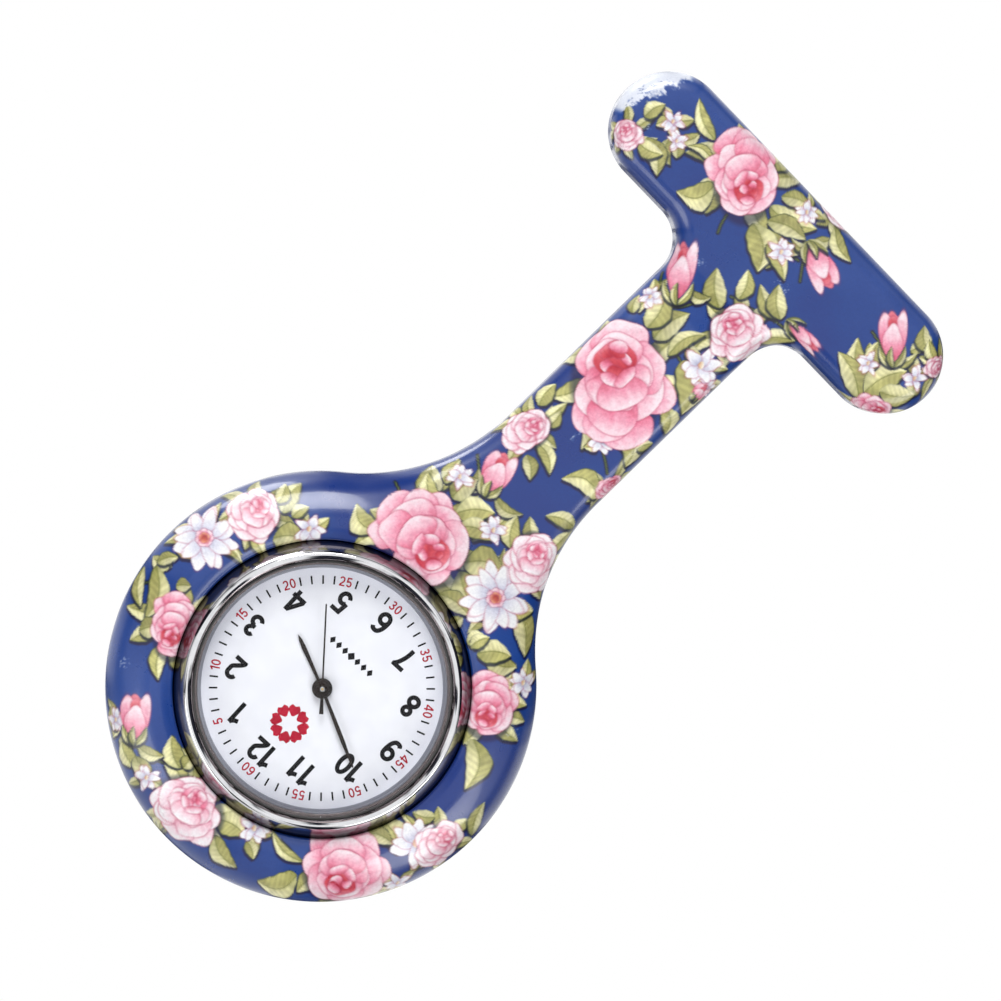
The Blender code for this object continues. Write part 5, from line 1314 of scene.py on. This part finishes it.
DIAL_F = 6.45
dial_me = revolve_mesh("dial_disc", fillet([(0.95, 6.05, 0), (12.15, 6.05, 0), (12.15, 6.45, 0.02), (0.95, 6.45, 0.03)]), turn_on, NS, HEAD)
feet_bm = bmesh.new()
feet_bm.from_mesh(dial_me)
for fu, fv in ((5.9, 5.2), (-6.0, -5.0)):
    foot = revolve_mesh("foot", [(0, 5.40), (0.35, 5.40), (0.35, 6.08), (0, 6.08)], lambda x, z, f: (fu + x, -f, fv + z), 24, HEAD)
    feet_bm.from_mesh(foot)
feet_bm.to_mesh(dial_me)
feet_bm.free()
piece("dial_disc", dial_me, DIAL, ROOT, ("dial",))


# ---- what is printed on the dial ------------------------------------------------------------------
def bow(cx, cy, rx, ry, a0, a1, n=22):
    return [(cx + rx * cos(radians(a0 + (a1 - a0) * k / n)), cy + ry * sin(radians(a0 + (a1 - a0) * k / n))) for k in range(n + 1)]


def flow(pts, n=6):
    """A smooth path through points."""
    P = [np.array(p, float) for p in pts]
    P = [2 * P[0] - P[1]] + P + [2 * P[-1] - P[-2]]
    out = []
    for a, b, c, d in zip(P, P[1:], P[2:], P[3:]):
        for k in range(n):
            t = k / n
            out.append(tuple(0.5 * (2 * b + (c - a) * t + (2 * a - 5 * b + 4 * c - d) * t * t + (3 * b - a - 3 * c + d) * t ** 3)))
    return out + [tuple(P[-2])]


def digit_paths(ch, s):
    """Centre lines of a digit one unit high, drawn with a stroke s wide, and its width."""
    h = s / 2
    six = [bow(0.295, 0.31, 0.295 - h, 0.31 - h, 0, 360, 36),
           flow([(h, 0.31), (h + 0.004, 0.48), (0.045 + h, 0.70), (0.13 + h, 0.86), (0.315, 1 - h), (0.45, 0.945 - h * 0.6), (0.545 - h * 0.4, 0.80)])]
    return {
        "0": ([bow(0.29, 0.5, 0.29 - h, 0.5 - h, 0, 360, 44)], 0.58),
        "1": ([[(0.36, 0.0), (0.36, 1.0)], flow([(0.08, 0.755), (0.20, 0.80), (0.30, 0.885), (0.355, 0.985)])], 0.36 + h),
        "2": ([flow(bow(0.29, 0.71, 0.275 - h, 0.29 - h, 168, -18, 12) + [(0.455, 0.50), (0.30, 0.345), (0.17, 0.215), (0.105, 0.115), (0.09, 0.05)], 4),
               [(0.025, h), (0.575, h)]], 0.58),
        "3": ([bow(0.28, 0.745, 0.25 - h, 0.255 - h, 160, -88), bow(0.28, 0.285, 0.285 - h, 0.285 - h, 92, -162), [(0.19, 0.535), (0.30, 0.535)]], 0.57),
        "4": ([[(0.455, 0.0), (0.455, 1.0)], [(0.0, 0.275), (0.62, 0.275)], [(0.055, 0.30), (0.435, 0.965)]], 0.62),
        "5": ([[(0.115, 1 - h), (0.535, 1 - h)], [(0.165, 0.98), (0.100, 0.455)], bow(0.29, 0.32, 0.285 - h, 0.32 - h, 142, -160)], 0.575),
        "6": (six, 0.59),
        "7": ([[(0.02, 1 - h), (0.565, 1 - h)], flow([(0.52, 0.95), (0.38, 0.74), (0.275, 0.47), (0.225, 0.22), (0.205, 0.0)])], 0.58),
        "8": ([bow(0.29, 0.745, 0.25 - h, 0.255 - h, 0, 360, 34), bow(0.29, 0.285, 0.29 - h, 0.285 - h, 0, 360, 38)], 0.58),
        "9": ([[(0.59 - x, 1 - y) for x, y in p] for p in six], 0.59)}[ch]


def stroke(path, s):
    """A band s wide along a path, as points and quads."""
    P = np.array(path, float)
    closed = hypot(*(P[0] - P[-1])) < 1e-6
    if closed:
        P = P[:-1]
    T = np.roll(P, -1, 0) - np.roll(P, 1, 0)
    if not closed:
        T[0], T[-1] = P[1] - P[0], P[-1] - P[-2]
    N = np.column_stack([-T[:, 1], T[:, 0]]) / np.hypot(T[:, 0], T[:, 1])[:, None]
    n = len(P)
    return np.concatenate([P + N * s / 2, P - N * s / 2]), [(i, n + i, n + (i + 1) % n, (i + 1) % n) for i in range(n if closed else n - 1)]


def number(text, s, gap=0.10, wide=1.0):
    """A number's strokes about its middle, one unit high."""
    x, out = 0.0, []
    for ch in text:
        paths, w = digit_paths(ch, s)
        for p in paths:
            P, F = stroke([((x + px * wide), py - 0.5) for px, py in p], s)
            out.append((P, F))
        x += w * wide + gap
    half = (x - gap) / 2
    return [(P - np.array([half, 0.0]), F) for P, F in out]


class Ink:
    """Flat printed shapes raised a hair above the dial."""

    def __init__(self, top):
        self.bm, self.top = bmesh.new(), top

    def text(self, text, s, at, height, turn=0.0, gap=0.10, wide=1.0):
        for k, (P, F) in enumerate(number(text, s, gap, wide)):
            self.add(P, F, at, height, turn, lift=0.0012 * k)

    def add(self, P, F, at, height, turn=0.0, stretch=1.0, lift=0.0):
        c, s = cos(radians(turn)), sin(radians(turn))
        lo, hi = [], []
        for x, y in P:
            x, y = x * height * stretch, y * height
            u, v = at[0] + x * c - y * s, at[1] + x * s + y * c
            lo.append(self.bm.verts.new(Vector((u, -(DIAL_F - 0.006), v)) * MM))
            hi.append(self.bm.verts.new(Vector((u, -(DIAL_F + self.top + lift), v)) * MM))
        count = {}
        for f in F:
            self.bm.faces.new([hi[k] for k in f])
            self.bm.faces.new([lo[k] for k in reversed(f)])
            for a, b in zip(f, f[1:] + f[:1]):
                count[(a, b)] = count.get((a, b), 0) + 1
        for (a, b), n in count.items():
            if (b, a) not in count:
                self.bm.faces.new([hi[a], lo[a], lo[b], hi[b]])

    def done(self, name, mat, slot="dial_white"):
        bmesh.ops.recalc_face_normals(self.bm, faces=self.bm.faces)
        me = bpy.data.meshes.new(name)
        self.bm.to_mesh(me)
        self.bm.free()
        me.transform(HEAD)
        return piece(name, me, mat, ROOT, smooth=False)


def polygon(pts):
    return np.array(pts, float), [tuple(range(len(pts)))]


numbers = Ink(0.014)
for k, r, a in ((12, 8.45, 0), (1, 8.32, 29.8), (2, 8.55, 60.5), (3, 8.92, 90.3), (4, 8.62, 120.4), (5, 8.50, 150.7), (6, 8.51, 180.1),
                (7, 8.36, 207.9), (8, 8.67, 239.2), (9, 8.92, 269.9), (10, 8.15, 298.5), (11, 8.30, 330.3)):
    numbers.text(str(k), 0.184, (r * sin(radians(a)), r * cos(radians(a))), 2.34, 0.0, 0.075, 1.04)
numbers.done("hour_numbers", INK)

ticks, minutes = Ink(0.012), Ink(0.012)
for k in range(60):
    a = 6.0 * k
    if k % 5:
        P, F = polygon([(-0.082, -0.41), (0.082, -0.41), (0.082, 0.41), (-0.082, 0.41)])
        ticks.add(P, F, (10.45 * sin(radians(a)), 10.45 * cos(radians(a))), 1.0, -a)
    else:
        minutes.text(str(k or 60), 0.150, (10.47 * sin(radians(a)), 10.47 * cos(radians(a))), 0.94, -a, 0.12, 1.02)
ticks.done("minute_ticks", INK)
minutes.done("minute_numbers", RED)

# a small ring of petals towards 12 and a row of lozenges towards 6, plain ornaments
rosette = Ink(0.013)
for k in range(8):
    a = 45.0 * k + 22.5
    pts = [(-0.10, 0.78), (0.10, 0.78)] + [(0.50 - 0.11 * abs(j - 2) ** 1.6 if j < 3 else 0, 0) for j in ()]
    pts += [(0.58, 1.28), (0.56, 1.62), (0.34, 1.90), (0.0, 1.74), (-0.34, 1.90), (-0.56, 1.62), (-0.58, 1.28)]
    P, F = polygon(pts)
    rosette.add(P, F, (0.0, 4.62), 1.0, -a)
rosette.done("dial_rosette", RED)
lozenges = Ink(0.012)
for k in range(-3, 4):
    w, h = (0.30, 0.40) if k else (0.42, 0.46)
    P, F = polygon([(0, h), (-w, 0), (0, -h), (w, 0)])
    lozenges.add(P, F, (0.80 * k, -4.15), 1.0)
lozenges.done("dial_lozenges", INK)

# ---- hands ---------------------------------------------------------------------------------------
def hand(name, node, body, deg, hub, bore, f0, f1, f_hub, blade, tail=None, ring=None):
    """Hub of revolution with a flat bevelled blade; the blade points away from the hub by deg."""
    prof = fillet([(bore, f0, 0), (hub, f0, 0), (hub, f_hub, 0.04), (bore, f_hub, 0.02)])
    if ring:
        prof = fillet([(bore, f0, 0), (hub, f0, 0), (hub, f_hub - 0.03, 0.03), (ring + 0.05, f_hub - 0.03, 0.0), (ring, f_hub - 0.07, 0.0),
                       (ring - 0.05, f_hub, 0.0), (bore, f_hub, 0.02)])
    me = revolve_mesh(name, prof, turn_on, 96)
    right = [(w, r) for w, r in blade]
    loop = right + [(-w, r) for w, r in reversed(right) if w > 1e-6]
    parts = [loop]
    if tail:
        parts.append(tail)
    bm = bmesh.new()
    bm.from_mesh(me)
    for lp in parts:
        sub = extruded(name + "_b", [lp], f0 + 0.005, f1, Matrix.Rotation(radians(deg), 4, "Y"), bevel=0.022)
        bm.from_mesh(sub)
        bpy.data.meshes.remove(sub)
    bm.to_mesh(me)
    bm.free()
    me.transform(HEAD)
    return piece(name, me, HANDS, body, (node,), angle=25)


hand("hour_hand_fine", "hour_hand", "hours", 113.6, 0.98, 0.72, 6.56, 6.74, 6.88,
     [(0.14, 0.80), (0.22, 4.3), (0.16, 5.1), (0.0, 5.7)])
hand("minute_hand_fine", "minute_hand", "minutes", 296.3, 0.84, 0.36, 6.98, 7.10, 7.23,
     [(0.15, 0.62), (0.20, 4.2), (0.20, 5.6), (0.09, 8.05), (0.0, 8.2)])
hand("second_hand_fine", "second_hand", "seconds", 140.1, 0.62, 0.15, 7.34, 7.44, 7.53,
     [(0.085, 0.45), (0.075, 8.1), (0.0, 8.22)], [(-0.12, -0.45), (-0.21, -2.43), (0.21, -2.43), (0.12, -0.45)], 0.45)

pipe = revolve_mesh("second_hand_pipe", fillet([(0.11, 7.50, 0), (0.24, 7.50, 0), (0.24, 7.66, 0.04), (0.11, 7.66, 0.02)]), turn_on, 64, HEAD)
piece("second_hand_pipe", pipe, STEEL, "seconds", angle=30)

for n, w in (("brooch_plate", 0.05), ("pin_needle", 0.03), ("hinge_rivet", 0.05), ("pin_catch", 0.05), ("safety_collar", 0.05), ("crown", 0.04),
             ("battery", 0.08), ("quartz_can", 0.05), ("circuit_chip", 0.04), ("battery_clamp", 0.03), ("movement_holder", 0.05)):
    soften(n, w)

# ---- floor, light, camera --------------------------------------------------------------------------
bm = bmesh.new()
bmesh.ops.create_circle(bm, cap_ends=True, segments=96, radius=0.062)
me = bpy.data.meshes.new("floor")
bm.to_mesh(me)
bm.free()
floor = bpy.data.objects.new("floor", me)
bpy.context.scene.collection.objects.link(floor)
floor.location = (0, 0, -0.122)
fm, nt, b = shader("floor_pale", (0.93, 0.93, 0.93), 0.7)
tc = node(nt, "ShaderNodeTexCoord")
ln = node(nt, "ShaderNodeVectorMath", operation="LENGTH")
nt.links.new(tc.outputs["Object"], ln.inputs[0])
nt.links.new(spread(nt, ln.outputs["Value"], 1.0, 0.0, 0.030, 0.060), b.inputs["Alpha"])
me.materials.append(fm)

world = bpy.data.worlds.new("studio")
bpy.context.scene.world = world
world.use_nodes = True
nt = world.node_tree
nt.nodes.clear()
out = node(nt, "ShaderNodeOutputWorld")
lp = node(nt, "ShaderNodeLightPath")
white, room, pick = node(nt, "ShaderNodeBackground"), node(nt, "ShaderNodeBackground"), node(nt, "ShaderNodeMixShader")
white.inputs["Color"].default_value, white.inputs["Strength"].default_value = (1, 1, 1, 1), 1.0
# what the chrome and the silicone mirror: a bright sheet behind, a pale room in front with dark
# flags standing in it, and a dim band round the sides
tc = node(nt, "ShaderNodeTexCoord")
sep = node(nt, "ShaderNodeSeparateXYZ")
nt.links.new(tc.outputs["Generated"], sep.inputs[0])
wv = node(nt, "ShaderNodeTexNoise")
wv.inputs["Scale"].default_value, wv.inputs["Detail"].default_value = 2.1, 3.0
flatten = node(nt, "ShaderNodeVectorMath", operation="MULTIPLY")
flatten.inputs[1].default_value = (1, 0, 1)
nt.links.new(tc.outputs["Generated"], flatten.inputs[0])
compass = node(nt, "ShaderNodeVectorMath", operation="NORMALIZE")
nt.links.new(flatten.outputs["Vector"], compass.inputs[0])
nt.links.new(compass.outputs["Vector"], wv.inputs["Vector"])
rr = node(nt, "ShaderNodeValToRGB")
el = rr.color_ramp.elements
el[0].position, el[0].color = 0.47, (0.02, 0.02, 0.03, 1)
el[1].position, el[1].color = 0.51, (1.0, 1.0, 1.0, 1)
# straight ahead there are no flags
ahead = node(nt, "ShaderNodeMath", operation="ADD")
nt.links.new(wv.outputs["Fac"], ahead.inputs[0])
nt.links.new(spread(nt, sep.outputs["Y"], 0.4, 0.0, -0.985, -0.955), ahead.inputs[1])
nt.links.new(ahead.outputs[0], rr.inputs["Fac"])
bands = node(nt, "ShaderNodeValToRGB")
nt.links.new(spread(nt, sep.outputs["Y"], 0.0, 1.0, -1.0, 1.0), bands.inputs["Fac"])
be = bands.color_ramp.elements
be[0].position, be[0].color = 0.30, (0.95, 0.95, 0.96, 1)
be[1].position, be[1].color = 0.44, (0.34, 0.34, 0.36, 1)
for pos, c in ((0.55, 0.34), (0.66, 1.15), (1.0, 1.25)):
    e = be.new(pos)
    e.color = (c, c, c, 1)
sky = node(nt, "ShaderNodeMix", data_type="RGBA", blend_type="MULTIPLY")
sky.inputs["Factor"].default_value = 1.0
nt.links.new(rr.outputs["Color"], sky.inputs["A"])
nt.links.new(bands.outputs["Color"], sky.inputs["B"])
nt.links.new(sky.outputs["Result"], room.inputs["Color"])
room.inputs["Strength"].default_value = 0.95
nt.links.new(lp.outputs["Is Camera Ray"], pick.inputs["Fac"])
nt.links.new(room.outputs["Background"], pick.inputs[1])
nt.links.new(white.outputs["Background"], pick.inputs[2])
nt.links.new(pick.outputs["Shader"], out.inputs["Surface"])

AIM = Vector((-0.00079, -0.0040, -0.03627))


def area(name, at, size, power, colour=(1, 1, 1), shape="DISK"):
    la = bpy.data.lights.new(name, "AREA")
    la.shape, la.size, la.energy, la.color = shape, size, power, colour
    ob = bpy.data.objects.new(name, la)
    bpy.context.scene.collection.objects.link(ob)
    ob.location = AIM + Vector(at)
    ob.rotation_euler = (-Vector(at)).to_track_quat("-Z", "Y").to_euler()
    return ob


area("key", (-0.34, -0.42, 0.30), 0.30, 2.3)
area("fill", (0.42, -0.40, -0.10), 0.36, 1.45)
area("low", (-0.10, -0.36, -0.42), 0.34, 1.0)
area("side", (-0.46, 0.10, 0.20), 0.22, 1.2)

cam = bpy.data.cameras.new("camera")
cam.lens, cam.sensor_width, cam.clip_start, cam.clip_end = 36.0 * 450 / 96.8, 36.0, 0.01, 10
co = bpy.data.objects.new("camera", cam)
bpy.context.scene.collection.objects.link(co)
az, el_ = radians(4.0), radians(-1.5)
away = Vector((-sin(az) * cos(el_), -cos(az) * cos(el_), sin(el_)))
d = -away
u0 = (Vector((0, 0, 1)) - d * d.z).normalized()
r0 = d.cross(u0)
a = radians(45.75)
up, right = cos(a) * u0 - sin(a) * r0, cos(a) * r0 + sin(a) * u0
m = Matrix((right, up, -d)).transposed().to_4x4()
m.translation = AIM + away * 0.450
co.matrix_world = m
bpy.context.scene.camera = co
bpy.context.scene.view_settings.view_transform = "Standard"

bpy.context.view_layer.update()
